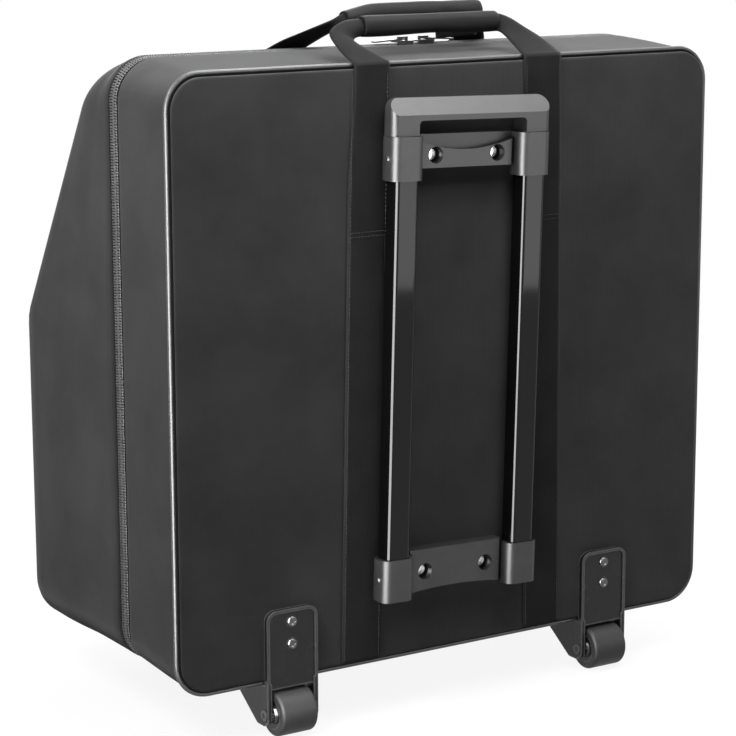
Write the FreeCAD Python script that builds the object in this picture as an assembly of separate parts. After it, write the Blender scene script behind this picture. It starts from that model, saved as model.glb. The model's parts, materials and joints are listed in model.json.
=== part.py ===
"""Accordion case: a zipped soft trolley case with a flat back and a sloping front.

Millimetres. X runs across the case, -Y is the back with the trolley and the wheels,
+Y is the sloping front, +Z is up and the floor is at zero. The case is drawn with the
back panel's face at depth zero, and every sub-part is moved by the same step at the end,
so that the middle of the whole lies over the origin.
"""
import FreeCAD
import Part
import math
import os

os.makedirs("parts", exist_ok=True)

# Shell of the case
case_width = 529.0
case_height = 498.4
case_depth = 270.5
floor_gap = 46.8
rear_depth = 90.0
zip_width = 16.0
crown_rise = 8.5
back_corner_radius = 28.0
rim_corner_radius = 36.0
slope_top_depth = 130.0
kink_height = 275.2
kink_radius = 30.0
board_thickness = 6.0
lining_thickness = 8.0

# Piping, zip and fabric hinge
piping_radius = 2.4
piping_inset = 0.6
zip_recess = 1.5
tape_thickness = 1.2
coil_width = 3.2
coil_thickness = 2.0
coil_end_gap = 9.0
hinge_tape_thickness = 3.0
body_gap = 0.3

# Webbing and carry handles
strap_centre = 92.0
strap_width = 38.0
strap_thickness = 2.0
hook_end_angle = 85.0
sleeve_radius = 8.5
sleeve_length = 132.0
leg_end_width = 14.0
leg_end_thickness = 5.0
leg_tuck = 5.0
rear_handle_reach = 45.0
rear_handle_angle = 36.0
cover_handle_reach = 68.0
cover_handle_angle = 151.5
flap_length = 62.0
flap_thickness = 3.0
flap_drop = 13.0

# Trolley: tubes, brackets and grip
tube_spacing = 125.6
tube_width = 22.5
tube_depth = 18.0
tube_wall = 1.2
tube_stand_off = 5.0
tube_corner_radius = 4.0
collar_width = 30.0
collar_front = 25.0
collar_height = 35.7
collar_floor = 3.0
collar_corner_radius = 7.0
lower_collar_lift = 54.7
upper_collar_drop = 93.9
plate_depth = 14.0
base_plate_depth = 7.0
plate_end_bevel = 7.0
plate_end_drop = 6.0
upper_plate_drop = 85.2
upper_plate_height = 24.0
upper_plate_dip = 9.6
upper_screw_rise = 10.4
lower_plate_lift = 56.2
lower_plate_height = 37.4
lower_plate_rise = 3.5
lower_screw_rise = 18.0
plate_corner = 4.0
screw_spacing = 61.0
screw_recess_radius = 7.0
screw_recess_depth = 11.0
screw_head_radius = 4.6
screw_head_height = 2.4
screw_radius = 2.5
backing_plate_thickness = 2.0
backing_plate_height = 26.0
backing_plate_overhang = 16.0
inner_tube_width = 17.0
inner_tube_depth = 12.5
inner_tube_wall = 1.2
slide_clearance = 0.1
glide_height = 30.0
glide_plug_height = 12.0
tube_end_gap = 8.0
grip_width = 156.0
grip_leg_width = 25.0
grip_bar_height = 18.0
grip_top_drop = 27.7
grip_corner_radius = 9.0
grip_edge_radius = 6.0
grip_opening_radius = 4.0
grip_socket_depth = 18.0
grip_pin_radius = 1.6
collar_rivet_radius = 2.2
collar_rivet_height = 1.0
trolley_lean = 1.6
trolley_offset = -3.0

# Wheels and their brackets
wheel_margin_share = 0.68078
wheel_offset = -2.5
wheel_radius = 19.0
wheel_width = 34.0
tyre_thickness = 6.0
tyre_edge_radius = 3.0
axle_radius = 3.0
axle_depth = 1.0
running_clearance = 0.05
hub_cap_radius = 7.5
hub_cap_height = 1.2
wheel_side_gap = 3.0
bracket_wall = 4.0
bracket_plate_lift = 61.2
bracket_plate_thickness = 3.5
bracket_corner_radius = 9.0
bracket_foot_length = 62.0
bracket_mouth_height = 41.0
bracket_rim = 1.5
bracket_rim_width = 2.6
cheek_front = 5.0
cheek_tip_height = 9.5
cheek_tip_length = 12.0
cheek_corner_radius = 4.0
axle_head_radius = 4.5
axle_head_height = 1.0
rivet_head_radius = 4.7
rivet_head_height = 2.2
rivet_radius = 2.4
lower_rivet_lift = 31.2
upper_rivet_lift = 50.2
washer_plate_thickness = 1.5
washer_plate_width = 22.0
washer_plate_margin = 10.0

# Feet under the cover
foot_margin = 114.5
foot_setback = 35.5
foot_length = 44.0
foot_width = 26.0
foot_taper_share = 0.8
pad_thickness = 4.0
foot_screw_radius = 2.0
foot_screw_head_radius = 4.0
foot_screw_head_height = 2.0

# Zip sliders and pulls
slider_meeting = 22.0
slider_length = 18.0
slider_width = 11.0
slider_plate = 1.4
slider_end_gap = 3.0
slider_flange = 1.6
bridge_length = 9.0
bridge_width = 3.0
bridge_height = 3.2
bridge_bar = 1.2
pull_length = 30.0
pull_width = 7.5
pull_thickness = 1.3
pull_corner_share = 0.25
pull_eye_radius = 0.65
pull_eye_length = 7.0
pull_droop = 3.0

# Allowances of the drawing
overrun = 40.0

# Places worked out from the sizes above
underside = floor_gap
top_back = underside + case_height
zip_centre = rear_depth + zip_width / 2
cover_rim = rear_depth + zip_width
ridge = top_back + crown_rise
half_width = case_width / 2
kink = underside + kink_height
slope_run = case_depth - slope_top_depth
slope_angle = math.atan2(slope_run, top_back - kink)
crown_end = slope_top_depth - board_thickness / math.cos(slope_angle)
piping_seat = piping_radius + piping_inset
lining_inset = board_thickness + lining_thickness
tube_back = -tube_stand_off
tube_front = -tube_stand_off - tube_depth
tube_x = tube_spacing / 2
axle_height = wheel_radius
wheel_room = half_width - strap_centre - strap_width / 2
wheel_centre = half_width - wheel_room * wheel_margin_share
foot_centre = half_width - foot_margin
foot_depth = case_depth - foot_setback
lower_collar_bottom = underside + lower_collar_lift
lower_plate_bottom = underside + lower_plate_lift
upper_collar_bottom = top_back - upper_collar_drop
upper_plate_bottom = top_back - upper_plate_drop
grip_top = top_back - grip_top_drop
bracket_top = underside + bracket_plate_lift
lower_rivet_height = underside + lower_rivet_lift
upper_rivet_height = underside + upper_rivet_lift
strap_gap = body_gap / 2
strap_proud = strap_thickness + strap_gap
whole_back = -collar_front
whole_front = case_depth + strap_proud
step_to_middle = -(whole_back + whole_front) / 2

SIDES = (("left", -1), ("right", 1))
nodes = {}


def vec(x, y, z):
    return FreeCAD.Vector(x, y, z)


AXIS_X = vec(1, 0, 0)
AXIS_Y = vec(0, 1, 0)
AXIS_Z = vec(0, 0, 1)


def box(x0, x1, y0, y1, z0, z1):
    """A block between two corners."""
    return Part.makeBox(x1 - x0, y1 - y0, z1 - z0, vec(x0, y0, z0))


def rod(radius, length, start, axis):
    """A round bar from a point along an axis."""
    return Part.makeCylinder(radius, length, start, axis)


def fuse(shapes):
    """One solid from shapes that overlap or meet."""
    whole = shapes[0]
    if len(shapes) > 1:
        whole = whole.multiFuse(shapes[1:])
    return whole.removeSplitter()


def group(shapes):
    """Separate solids kept together in one sub-part."""
    return Part.makeCompound(shapes)


def mirrored(shape):
    """The same shape on the other side of the case."""
    return shape.mirror(vec(0, 0, 0), AXIS_X)


def on_side(shape, side):
    """A shape drawn on the +X side, put on the side that is asked for."""
    return shape if side > 0 else mirrored(shape)


def outline(inset, low, high, radius, depth):
    """A rounded rectangle across the case, drawn in by an inset, at one depth."""
    x = half_width - inset
    z0 = low + inset
    z1 = high - inset
    r = max(radius - inset, piping_radius)
    s = r * math.sin(math.pi / 4)
    c = r - s
    edges = [
        Part.LineSegment(vec(-x + r, depth, z0), vec(x - r, depth, z0)).toShape(),
        Part.Arc(vec(x - r, depth, z0), vec(x - c, depth, z0 + c), vec(x, depth, z0 + r)).toShape(),
        Part.LineSegment(vec(x, depth, z0 + r), vec(x, depth, z1 - r)).toShape(),
        Part.Arc(vec(x, depth, z1 - r), vec(x - c, depth, z1 - c), vec(x - r, depth, z1)).toShape(),
        Part.LineSegment(vec(x - r, depth, z1), vec(-x + r, depth, z1)).toShape(),
        Part.Arc(vec(-x + r, depth, z1), vec(-x + c, depth, z1 - c), vec(-x, depth, z1 - r)).toShape(),
        Part.LineSegment(vec(-x, depth, z1 - r), vec(-x, depth, z0 + r)).toShape(),
        Part.Arc(vec(-x, depth, z0 + r), vec(-x + c, depth, z0 + c), vec(-x + r, depth, z0)).toShape(),
    ]
    return Part.Wire(edges)


def prism(inset, radius, y0, y1, high=top_back):
    """The case's outline pushed straight from one depth to another."""
    face = Part.Face(outline(inset, underside, high, radius, y0))
    return face.extrude(vec(0, y1 - y0, 0))


def crown_at(depth):
    """Height of the top at a depth: it climbs to the zip and falls again behind it."""
    if depth <= zip_centre:
        return top_back + crown_rise * depth / zip_centre
    return top_back + crown_rise * (crown_end - depth) / (crown_end - zip_centre)


def crowned(inset, radius0, radius1, y0, y1):
    """A stretch of the case whose top climbs or falls with the crown."""
    first = outline(inset, underside, crown_at(y0), radius0, y0)
    last = outline(inset, underside, crown_at(y1), radius1, y1)
    return Part.makeLoft([first, last], True, True)


def side_profile(inset, y0, reach=0.0):
    """The cover seen from the side: flat bottom and front, the kink, and the slope.

    The slope runs on past its top edge by reach, so that a corner can be trimmed later.
    """
    front = case_depth - inset
    lean = vec(0, -math.sin(slope_angle), math.cos(slope_angle))
    bend = vec(0, front, kink - inset * math.tan(slope_angle / 2))
    radius = kink_radius - inset
    cut = radius * math.tan(slope_angle / 2)
    before = bend - AXIS_Z * cut
    after = bend + lean * cut
    middle_angle = slope_angle / 2
    centre = before - AXIS_Y * radius
    middle = centre + vec(0, radius * math.cos(middle_angle), radius * math.sin(middle_angle))
    rise = (top_back - inset + reach - bend.z) / math.cos(slope_angle)
    top = bend + lean * rise
    low = underside + inset
    points = [vec(0, y0, low), vec(0, front, low), before]
    edges = [Part.LineSegment(a, b).toShape() for a, b in zip(points, points[1:])]
    edges.append(Part.Arc(before, middle, after).toShape())
    last = [after, top, vec(0, y0, top.z), vec(0, y0, low)]
    edges += [Part.LineSegment(a, b).toShape() for a, b in zip(last, last[1:])]
    return Part.Wire(edges)


def across(wire, x0, x1):
    """A profile drawn in the middle plane, pushed across the case."""
    face = Part.Face(wire)
    face.translate(vec(x0, 0, 0))
    return face.extrude(vec(x1 - x0, 0, 0))


def cover_solid(inset, y0):
    """The space inside the cover's walls at an inset, from a depth to the front."""
    full = prism(inset, rim_corner_radius, y0, case_depth)
    return full.common(across(side_profile(inset, y0 - overrun), -half_width, half_width))


def sweep_round(path, radius):
    """A round cord along a smooth closed path."""
    start = path.Edges[0]
    first = start.ParameterRange[0]
    ring = Part.Wire(Part.makeCircle(radius, start.valueAt(first), start.tangentAt(first)))
    shell = Part.BRepOffsetAPI.MakePipeShell(path)
    shell.add(ring)
    shell.build()
    shell.makeSolid()
    return shell.shape()


def bar(x0, x1, y0, y1, z0, z1, radius):
    """An upright bar with its four upright edges rounded."""
    solid = box(x0, x1, y0, y1, z0, z1)
    upright = [e for e in solid.Edges if abs(e.tangentAt(e.FirstParameter).z) > math.cos(math.pi / 4)]
    return solid.makeFillet(radius, upright)


def edges_along(solid, axis):
    """The straight edges of a solid that run along an axis."""
    found = []
    for e in solid.Edges:
        along = isinstance(e.Curve, Part.Line) and abs(e.tangentAt(e.FirstParameter).dot(axis))
        if along > math.cos(math.pi / 8):
            found.append(e)
    return found


# Back panel, side band and piping of the rear tray
rear_path = outline(piping_inset, underside, top_back, back_corner_radius, piping_radius)
rear_piping = sweep_round(rear_path, piping_radius)
back_panel = fuse([
    prism(piping_seat, back_corner_radius, 0, piping_radius * 2),
    prism(0, back_corner_radius, piping_radius * 2, board_thickness),
])
tray_outer = crowned(0, back_corner_radius, rim_corner_radius, board_thickness, rear_depth)
tray_hollow = prism(board_thickness, rim_corner_radius, board_thickness, rear_depth + overrun)
rear_gusset = tray_outer.cut(tray_hollow)

# Foam lining of the tray
rear_edge = zip_centre - body_gap / 2
rear_lining = prism(board_thickness, rim_corner_radius, board_thickness, rear_edge)
rear_lining = rear_lining.cut(prism(lining_inset, rim_corner_radius, lining_inset, rear_depth + overrun))


def band(inset, thickness, y0, y1):
    """A flat ring round the case between two depths."""
    high = ridge
    ring = prism(inset, rim_corner_radius, y0, y1, high)
    return ring.cut(prism(inset + thickness, rim_corner_radius, y0 - overrun, y1 + overrun, high))


# Zip and fabric hinge: the hinge takes the flat of the bottom, the zip takes the rest
hinge_half = half_width - rim_corner_radius
hinge_zone = box(-hinge_half, hinge_half, 0, case_depth, underside - overrun, underside + lining_inset)
coil_half = hinge_half + coil_end_gap
coil_zone = box(-coil_half, coil_half, 0, case_depth, underside - overrun, underside + lining_inset)
cover_edge = zip_centre + body_gap / 2
rear_zip_tape = band(zip_recess, tape_thickness, rear_depth, rear_edge).cut(hinge_zone)
cover_zip_tape = band(zip_recess, tape_thickness, cover_edge, cover_rim).cut(hinge_zone)
coil_inset = zip_recess - coil_thickness
rear_zip_coil = band(coil_inset, coil_thickness, rear_edge - coil_width, rear_edge).cut(coil_zone)
cover_zip_coil = band(coil_inset, coil_thickness, cover_edge, cover_edge + coil_width).cut(coil_zone)
hinge_high = underside + hinge_tape_thickness
rear_hinge_tape = box(-hinge_half, hinge_half, rear_depth, rear_edge, underside, hinge_high)
cover_hinge_tape = box(-hinge_half, hinge_half, cover_edge, cover_rim, underside, hinge_high)

# Cover: side band, bent front board, piping and foam lining
cover_outer = crowned(0, rim_corner_radius, rim_corner_radius, cover_rim, crown_end)
cover_outer = fuse([cover_outer, cover_solid(0, crown_end)])
cover_shell = cover_outer.cut(cover_solid(board_thickness, cover_rim - overrun))


def front_zone(thickness):
    """The space within a thickness of the sloping front, over the whole width of the case."""
    face = across(side_profile(0, cover_rim - overrun), -half_width, half_width)
    behind = across(side_profile(thickness, cover_rim - overrun, overrun), -half_width, half_width)
    below = box(-half_width, half_width, 0, case_depth - thickness, 0, underside + thickness)
    return face.cut(behind).cut(below)


cover_seat = front_zone(piping_radius * 2).cut(prism(piping_seat, rim_corner_radius, 0, case_depth))
cover_front_board = cover_shell.common(front_zone(board_thickness)).cut(cover_seat)
cover_gusset = cover_shell.cut(front_zone(board_thickness)).cut(cover_seat)

slope_sheet = side_profile(piping_radius, cover_rim - overrun, overrun)
wall = outline(piping_inset, underside, top_back, rim_corner_radius, cover_rim).extrude(vec(0, case_depth, 0))
sheet = Part.Wire(slope_sheet.Edges[1:4])
sheet.translate(vec(-case_width, 0, 0))
sheet = sheet.extrude(vec(case_width * 2, 0, 0))
cover_path = Part.Wire(Part.sortEdges(wall.section(sheet).Edges)[0])
cover_piping = sweep_round(cover_path, piping_radius)
cover_lining = cover_solid(board_thickness, cover_edge).cut(cover_solid(lining_inset, cover_rim - overrun))


def hook(centre, start_angle, end_angle, inner, outer, x0, x1):
    """Webbing bent round the piping, between two angles from the +Y direction."""
    def at(radius, angle):
        a = math.radians(angle)
        return centre + vec(0, radius * math.cos(a), radius * math.sin(a))
    half = (start_angle + end_angle) / 2
    edges = [
        Part.Arc(at(outer, start_angle), at(outer, half), at(outer, end_angle)).toShape(),
        Part.LineSegment(at(outer, end_angle), at(inner, end_angle)).toShape(),
        Part.Arc(at(inner, end_angle), at(inner, half), at(inner, start_angle)).toShape(),
        Part.LineSegment(at(inner, start_angle), at(outer, start_angle)).toShape(),
    ]
    return across(Part.Wire(edges), x0, x1)


strap_in = strap_centre - strap_width / 2
strap_out = strap_centre + strap_width / 2
hook_inner = piping_radius + strap_gap
hook_outer = hook_inner + strap_thickness
hook_middle = hook_inner + strap_thickness / 2
bead = strap_thickness / 2

# Straps on the back panel, bent over the top piping where the carry handle begins
rear_piping_top = vec(0, piping_radius, top_back - piping_inset)
strap_low = underside + piping_inset + piping_radius
strap_back = -strap_proud
rear_strap = fuse([
    box(strap_in, strap_out, strap_back, strap_back + strap_thickness, strap_low, rear_piping_top.z),
    hook(rear_piping_top, 180, hook_end_angle, hook_inner, hook_outer, strap_in, strap_out),
])

# Straps down the sloping front, bent over its top piping
slope_normal = math.degrees(slope_angle)
edge_rise = (top_back - piping_inset - slope_sheet.Edges[3].Vertexes[0].Z) / math.cos(slope_angle)
lean_up = vec(0, -math.sin(slope_angle), math.cos(slope_angle))
cover_piping_top = slope_sheet.Edges[3].Vertexes[0].Point + lean_up * edge_rise
strap_zone = box(-half_width, half_width, 0, case_depth * 2, strap_low, ridge)
strap_front = across(side_profile(-strap_proud, cover_rim, overrun), strap_in, strap_out)
strap_front = strap_front.cut(across(side_profile(-strap_gap, cover_rim - overrun, overrun * 2),
                                     -half_width, half_width))
trim = box(-half_width, half_width, -overrun * 2, overrun * 2, 0, overrun * 2)
trim.rotate(vec(0, 0, 0), AXIS_X, slope_normal)
trim.translate(cover_piping_top)
strap_front = strap_front.common(strap_zone).cut(trim)
cover_strap = fuse([
    strap_front,
    hook(cover_piping_top, slope_normal, 180 - hook_end_angle, hook_inner, hook_outer, strap_in, strap_out),
])
for name, side in SIDES:
    nodes["rear_strap_" + name] = on_side(rear_strap, side)
    nodes["cover_strap_" + name] = on_side(cover_strap, side)


def handle_pivot(centre, end_angle, direction):
    """Where a carry handle's webbing leaves its strap: the axis it swings about."""
    step = direction * math.degrees(math.asin((bead + body_gap) / hook_middle))
    a = math.radians(end_angle + step)
    return centre + vec(0, hook_middle * math.cos(a), hook_middle * math.sin(a))


def handle_legs(pivot, angle, reach):
    """The two webbing legs of a carry handle, flat at the pivot and gathered at the sleeve."""
    a = math.radians(angle)
    along = vec(0, math.cos(a), math.sin(a))
    up = vec(0, -math.sin(a), math.cos(a))
    sleeve_end = sleeve_length / 2
    tip = sleeve_end - leg_tuck

    def quad(distance, x0, x1, thickness):
        base = pivot + along * distance
        points = [vec(x0, 0, 0) + base - up * (thickness / 2), vec(x1, 0, 0) + base - up * (thickness / 2),
                  vec(x1, 0, 0) + base + up * (thickness / 2), vec(x0, 0, 0) + base + up * (thickness / 2)]
        return Part.makePolygon(points + points[:1])

    blade = Part.makeLoft([
        quad(0, strap_in, strap_out, strap_thickness),
        quad(reach, tip, tip + leg_end_width, leg_end_thickness),
    ], True, True)
    root = rod(bead, strap_width, pivot + vec(strap_in, 0, 0), AXIS_X)
    grip = rod(sleeve_radius, sleeve_length, pivot + along * reach - vec(sleeve_end, 0, 0), AXIS_X)
    leg = fuse([blade, root]).cut(grip)
    leg = sorted(leg.Solids, key=lambda s: s.Volume)[-1]
    return [leg, mirrored(leg)], grip, pivot + along * reach


# Carry handles: one on each half of the case
rear_pivot = handle_pivot(rear_piping_top, hook_end_angle, -1)
legs, grip, rear_grip_centre = handle_legs(rear_pivot, rear_handle_angle, rear_handle_reach)
nodes["rear_handle_webbing"] = group(legs)
nodes["rear_handle_sleeve"] = grip
cover_pivot = handle_pivot(cover_piping_top, 180 - hook_end_angle, 1)
legs, grip, cover_grip_centre = handle_legs(cover_pivot, cover_handle_angle, cover_handle_reach)
nodes["cover_handle_webbing"] = group(legs)
flap = box(-flap_length / 2, flap_length / 2, cover_grip_centre.y - flap_thickness / 2,
           cover_grip_centre.y + flap_thickness / 2, cover_grip_centre.z - sleeve_radius - flap_drop,
           cover_grip_centre.z)
nodes["cover_handle_wrap"] = fuse([grip, flap.common(grip.fuse(flap))])

# Trolley tubes, fixed to the back panel by two moulded brackets
tube_bottom = lower_collar_bottom + collar_floor
tube_top = upper_collar_bottom + collar_height - collar_floor
tube_in = tube_x - tube_width / 2
tube_out = tube_x + tube_width / 2
trolley_tube = bar(tube_in, tube_out, tube_front, tube_back, tube_bottom, tube_top, tube_corner_radius)
trolley_tube = trolley_tube.cut(bar(
    tube_in + tube_wall, tube_out - tube_wall, tube_front + tube_wall, tube_back - tube_wall,
    tube_bottom - overrun, tube_top + overrun, tube_corner_radius - tube_wall))
tube_hole = bar(tube_in, tube_out, tube_front, tube_back, tube_bottom, tube_top, tube_corner_radius)
inner_in = tube_x - inner_tube_width / 2
inner_out = tube_x + inner_tube_width / 2
inner_middle = (tube_front + tube_back) / 2
inner_front = inner_middle - inner_tube_depth / 2
inner_back = inner_middle + inner_tube_depth / 2
inner_corner_radius = tube_corner_radius - tube_wall
inner_hole = bar(inner_in - slide_clearance, inner_out + slide_clearance, inner_front - slide_clearance,
                 inner_back + slide_clearance, tube_top - collar_floor, tube_top + overrun,
                 inner_corner_radius)


def collar(z0):
    """One collar round a tube, clear of the strap behind it."""
    return bar(tube_x - collar_width / 2, tube_x + collar_width / 2, -collar_front, strap_back - body_gap,
               z0, z0 + collar_height, collar_corner_radius)


def plate(points):
    """The web of a bracket between the collars: an outline, thinned by a bevel at each end."""
    edges = []
    for kind, *p in points:
        if kind == "line":
            edges.append(Part.LineSegment(p[0], p[1]).toShape())
        else:
            edges.append(Part.Arc(p[0], p[1], p[2]).toShape())
    web = Part.Face(Part.Wire(edges)).extrude(vec(0, plate_depth, 0))
    start = plate_half - plate_end_bevel
    corners = [vec(start, -plate_depth, 0), vec(plate_half, plate_end_drop - plate_depth, 0),
               vec(plate_half, -plate_depth, 0), vec(start, -plate_depth, 0)]
    wedge = Part.Face(Part.makePolygon(corners)).extrude(vec(0, 0, ridge))
    return web.cut(wedge).cut(mirrored(wedge))


plate_half = tube_x - tube_width / 2
upper_low = upper_plate_bottom
upper_high = upper_plate_bottom + upper_plate_height
upper_web = plate([
    ("line", vec(-plate_half, -plate_depth, upper_low), vec(plate_half, -plate_depth, upper_low)),
    ("line", vec(plate_half, -plate_depth, upper_low), vec(plate_half, -plate_depth, upper_high)),
    ("arc", vec(plate_half, -plate_depth, upper_high), vec(0, -plate_depth, upper_high - upper_plate_dip),
     vec(-plate_half, -plate_depth, upper_high)),
    ("line", vec(-plate_half, -plate_depth, upper_high), vec(-plate_half, -plate_depth, upper_low)),
])
lower_low = lower_plate_bottom
lower_high = lower_plate_bottom + lower_plate_height
lower_neck = lower_collar_bottom + collar_height
corner_half = plate_half - plate_corner
lower_web = plate([
    ("arc", vec(-plate_half, -plate_depth, lower_low), vec(0, -plate_depth, lower_low + lower_plate_rise),
     vec(plate_half, -plate_depth, lower_low)),
    ("line", vec(plate_half, -plate_depth, lower_low), vec(plate_half, -plate_depth, lower_neck)),
    ("line", vec(plate_half, -plate_depth, lower_neck), vec(corner_half, -plate_depth, lower_high)),
    ("line", vec(corner_half, -plate_depth, lower_high), vec(-corner_half, -plate_depth, lower_high)),
    ("line", vec(-corner_half, -plate_depth, lower_high), vec(-plate_half, -plate_depth, lower_neck)),
    ("line", vec(-plate_half, -plate_depth, lower_neck), vec(-plate_half, -plate_depth, lower_low)),
])
screw_height_upper = upper_plate_bottom + upper_screw_rise
screw_height_lower = lower_plate_bottom + lower_screw_rise


def bracket(web, z0, screw_height):
    """A bracket: the web, a collar at each end and two recessed screw holes."""
    one = collar(z0)
    whole = fuse([web, one, mirrored(one)])
    for x in (-screw_spacing / 2, screw_spacing / 2):
        face = vec(x, -plate_depth, screw_height)
        whole = whole.cut(rod(screw_recess_radius, screw_recess_depth, face, AXIS_Y))
        whole = whole.cut(rod(screw_radius, plate_depth, face, AXIS_Y))
    return whole.cut(tube_hole).cut(mirrored(tube_hole))


upper_base_top = upper_collar_bottom + collar_height
upper_base = box(-plate_half, plate_half, -base_plate_depth, 0, upper_low, upper_base_top)
upper_bracket = bracket(fuse([upper_web, upper_base]), upper_collar_bottom, screw_height_upper)
upper_bracket = upper_bracket.cut(inner_hole).cut(mirrored(inner_hole))
lower_bracket = bracket(lower_web, lower_collar_bottom, screw_height_lower)


def bracket_screw(x, z):
    """A pan-head screw in a bracket's recess, through the panel into the backing plate."""
    seat = screw_recess_depth - plate_depth
    head = rod(screw_head_radius, screw_head_height, vec(x, seat - screw_head_height, z), AXIS_Y)
    shank = rod(screw_radius, board_thickness + backing_plate_thickness - seat, vec(x, seat, z), AXIS_Y)
    return fuse([head, shank])


screw_places = [(x, z) for z in (screw_height_upper, screw_height_lower)
                for x in (-screw_spacing / 2, screw_spacing / 2)]
bracket_screws = group([bracket_screw(x, z) for x, z in screw_places])


def backing_plate(z):
    """A steel strip behind the panel that the bracket screws bite into."""
    half = screw_spacing / 2 + backing_plate_overhang
    strip = box(-half, half, board_thickness, board_thickness + backing_plate_thickness,
                z - backing_plate_height / 2, z + backing_plate_height / 2)
    return strip.cut(bracket_screws)


backing_plate_upper = backing_plate(screw_height_upper)
backing_plate_lower = backing_plate(screw_height_lower)


def leaned(shape):
    """A trolley piece put where the trolley stands: a little aside and out of plumb."""
    copy = shape.copy()
    copy.rotate(vec(0, 0, underside + case_height / 2), AXIS_Y, trolley_lean)
    return copy.translated(vec(trolley_offset, 0, 0))


# Rivets that fix the collars to the tubes, at their outer flanks
rivet_z = [z0 + collar_height / 2 for z0 in (upper_collar_bottom, lower_collar_bottom)]
collar_rivets = []
for z in rivet_z:
    reach = (collar_width - tube_width) / 2
    flank = vec(tube_x + tube_width / 2, inner_middle, z)
    pin = rod(collar_rivet_radius, reach + collar_rivet_height, flank, AXIS_X)
    collar_rivets += [pin, mirrored(pin)]
upper_bracket = upper_bracket.cut(group(collar_rivets))
lower_bracket = lower_bracket.cut(group(collar_rivets))

# Pull-out handle: inner tubes, glides, grip and cross pins
inner_bottom = tube_bottom + tube_end_gap
grip_bottom = upper_collar_bottom + collar_height + body_gap
inner_top = grip_bottom + grip_socket_depth
inner_tube = bar(inner_in, inner_out, inner_front, inner_back, inner_bottom, inner_top, inner_corner_radius)
inner_bore_radius = inner_corner_radius - inner_tube_wall
inner_bore = bar(inner_in + inner_tube_wall, inner_out - inner_tube_wall, inner_front + inner_tube_wall,
                 inner_back - inner_tube_wall, inner_bottom - overrun, inner_top + overrun, inner_bore_radius)
inner_tube = inner_tube.cut(inner_bore)
glide = bar(tube_in + tube_wall + slide_clearance, tube_out - tube_wall - slide_clearance,
            tube_front + tube_wall + slide_clearance, tube_back - tube_wall - slide_clearance,
            inner_bottom - collar_floor, inner_bottom + glide_height, inner_corner_radius)
glide = glide.cut(bar(inner_in, inner_out, inner_front, inner_back, inner_bottom,
                      inner_bottom + glide_height + overrun, inner_corner_radius))
glide_plug = bar(inner_in + inner_tube_wall, inner_out - inner_tube_wall, inner_front + inner_tube_wall,
                 inner_back - inner_tube_wall, inner_bottom, inner_bottom + glide_plug_height,
                 inner_bore_radius)
glide = fuse([glide, glide_plug])

grip_half = grip_width / 2
grip_solid = box(-grip_half, grip_half, tube_front, tube_back, grip_bottom, grip_top)
top_corners = [e for e in edges_along(grip_solid, AXIS_Y) if e.CenterOfMass.z > grip_top - body_gap]
grip_solid = grip_solid.makeFillet(grip_corner_radius, top_corners)
grip_edges = []
for e in grip_solid.Edges:
    flat = e.BoundBox.YLength < body_gap
    if flat and e.CenterOfMass.z > grip_bottom + body_gap:
        grip_edges.append(e)
grip_solid = grip_solid.makeFillet(grip_edge_radius, grip_edges)
opening_half = grip_half - grip_leg_width
grip_opening = box(-opening_half, opening_half, tube_front - overrun, tube_back + overrun,
                   grip_bottom - overrun, grip_top - grip_bar_height)
opening_corners = [e for e in edges_along(grip_opening, AXIS_Y) if e.CenterOfMass.z > grip_bottom]
grip_opening = grip_opening.makeFillet(grip_opening_radius, opening_corners)
trolley_grip = grip_solid.cut(grip_opening)
socket = bar(inner_in, inner_out, inner_front, inner_back, grip_bottom - overrun, inner_top,
             inner_corner_radius)
trolley_grip = trolley_grip.cut(socket).cut(mirrored(socket))
grip_pin_z = grip_bottom + grip_socket_depth / 2
grip_pin = rod(grip_pin_radius, tube_depth, vec(tube_x, tube_front, grip_pin_z), AXIS_Y)
grip_pins = group([grip_pin, mirrored(grip_pin)])
trolley_grip = trolley_grip.cut(grip_pins)
inner_tube = inner_tube.cut(grip_pins)

# Wheel brackets: a riveted plate on the back, a foot under the case and two cheeks
cheek_inner = wheel_width / 2 + wheel_side_gap
cheek_outer = cheek_inner + bracket_wall
foot_low = underside - bracket_wall


def cheek(x0):
    """One cheek: a triangle from the case's underside to the axle, with rounded tips."""
    points = [(-cheek_front, underside), (-cheek_front, axle_height - cheek_front),
              (axle_depth, cheek_tip_height), (axle_depth + cheek_tip_length, cheek_tip_height),
              (bracket_foot_length, foot_low), (bracket_foot_length, underside)]
    corners = [vec(0, y, z) for y, z in points]
    solid = across(Part.makePolygon(corners + corners[:1]), x0, x0 + bracket_wall)
    low = [e for e in edges_along(solid, AXIS_X) if e.CenterOfMass.z < axle_height]
    return solid.makeFillet(cheek_corner_radius, low)


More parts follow.
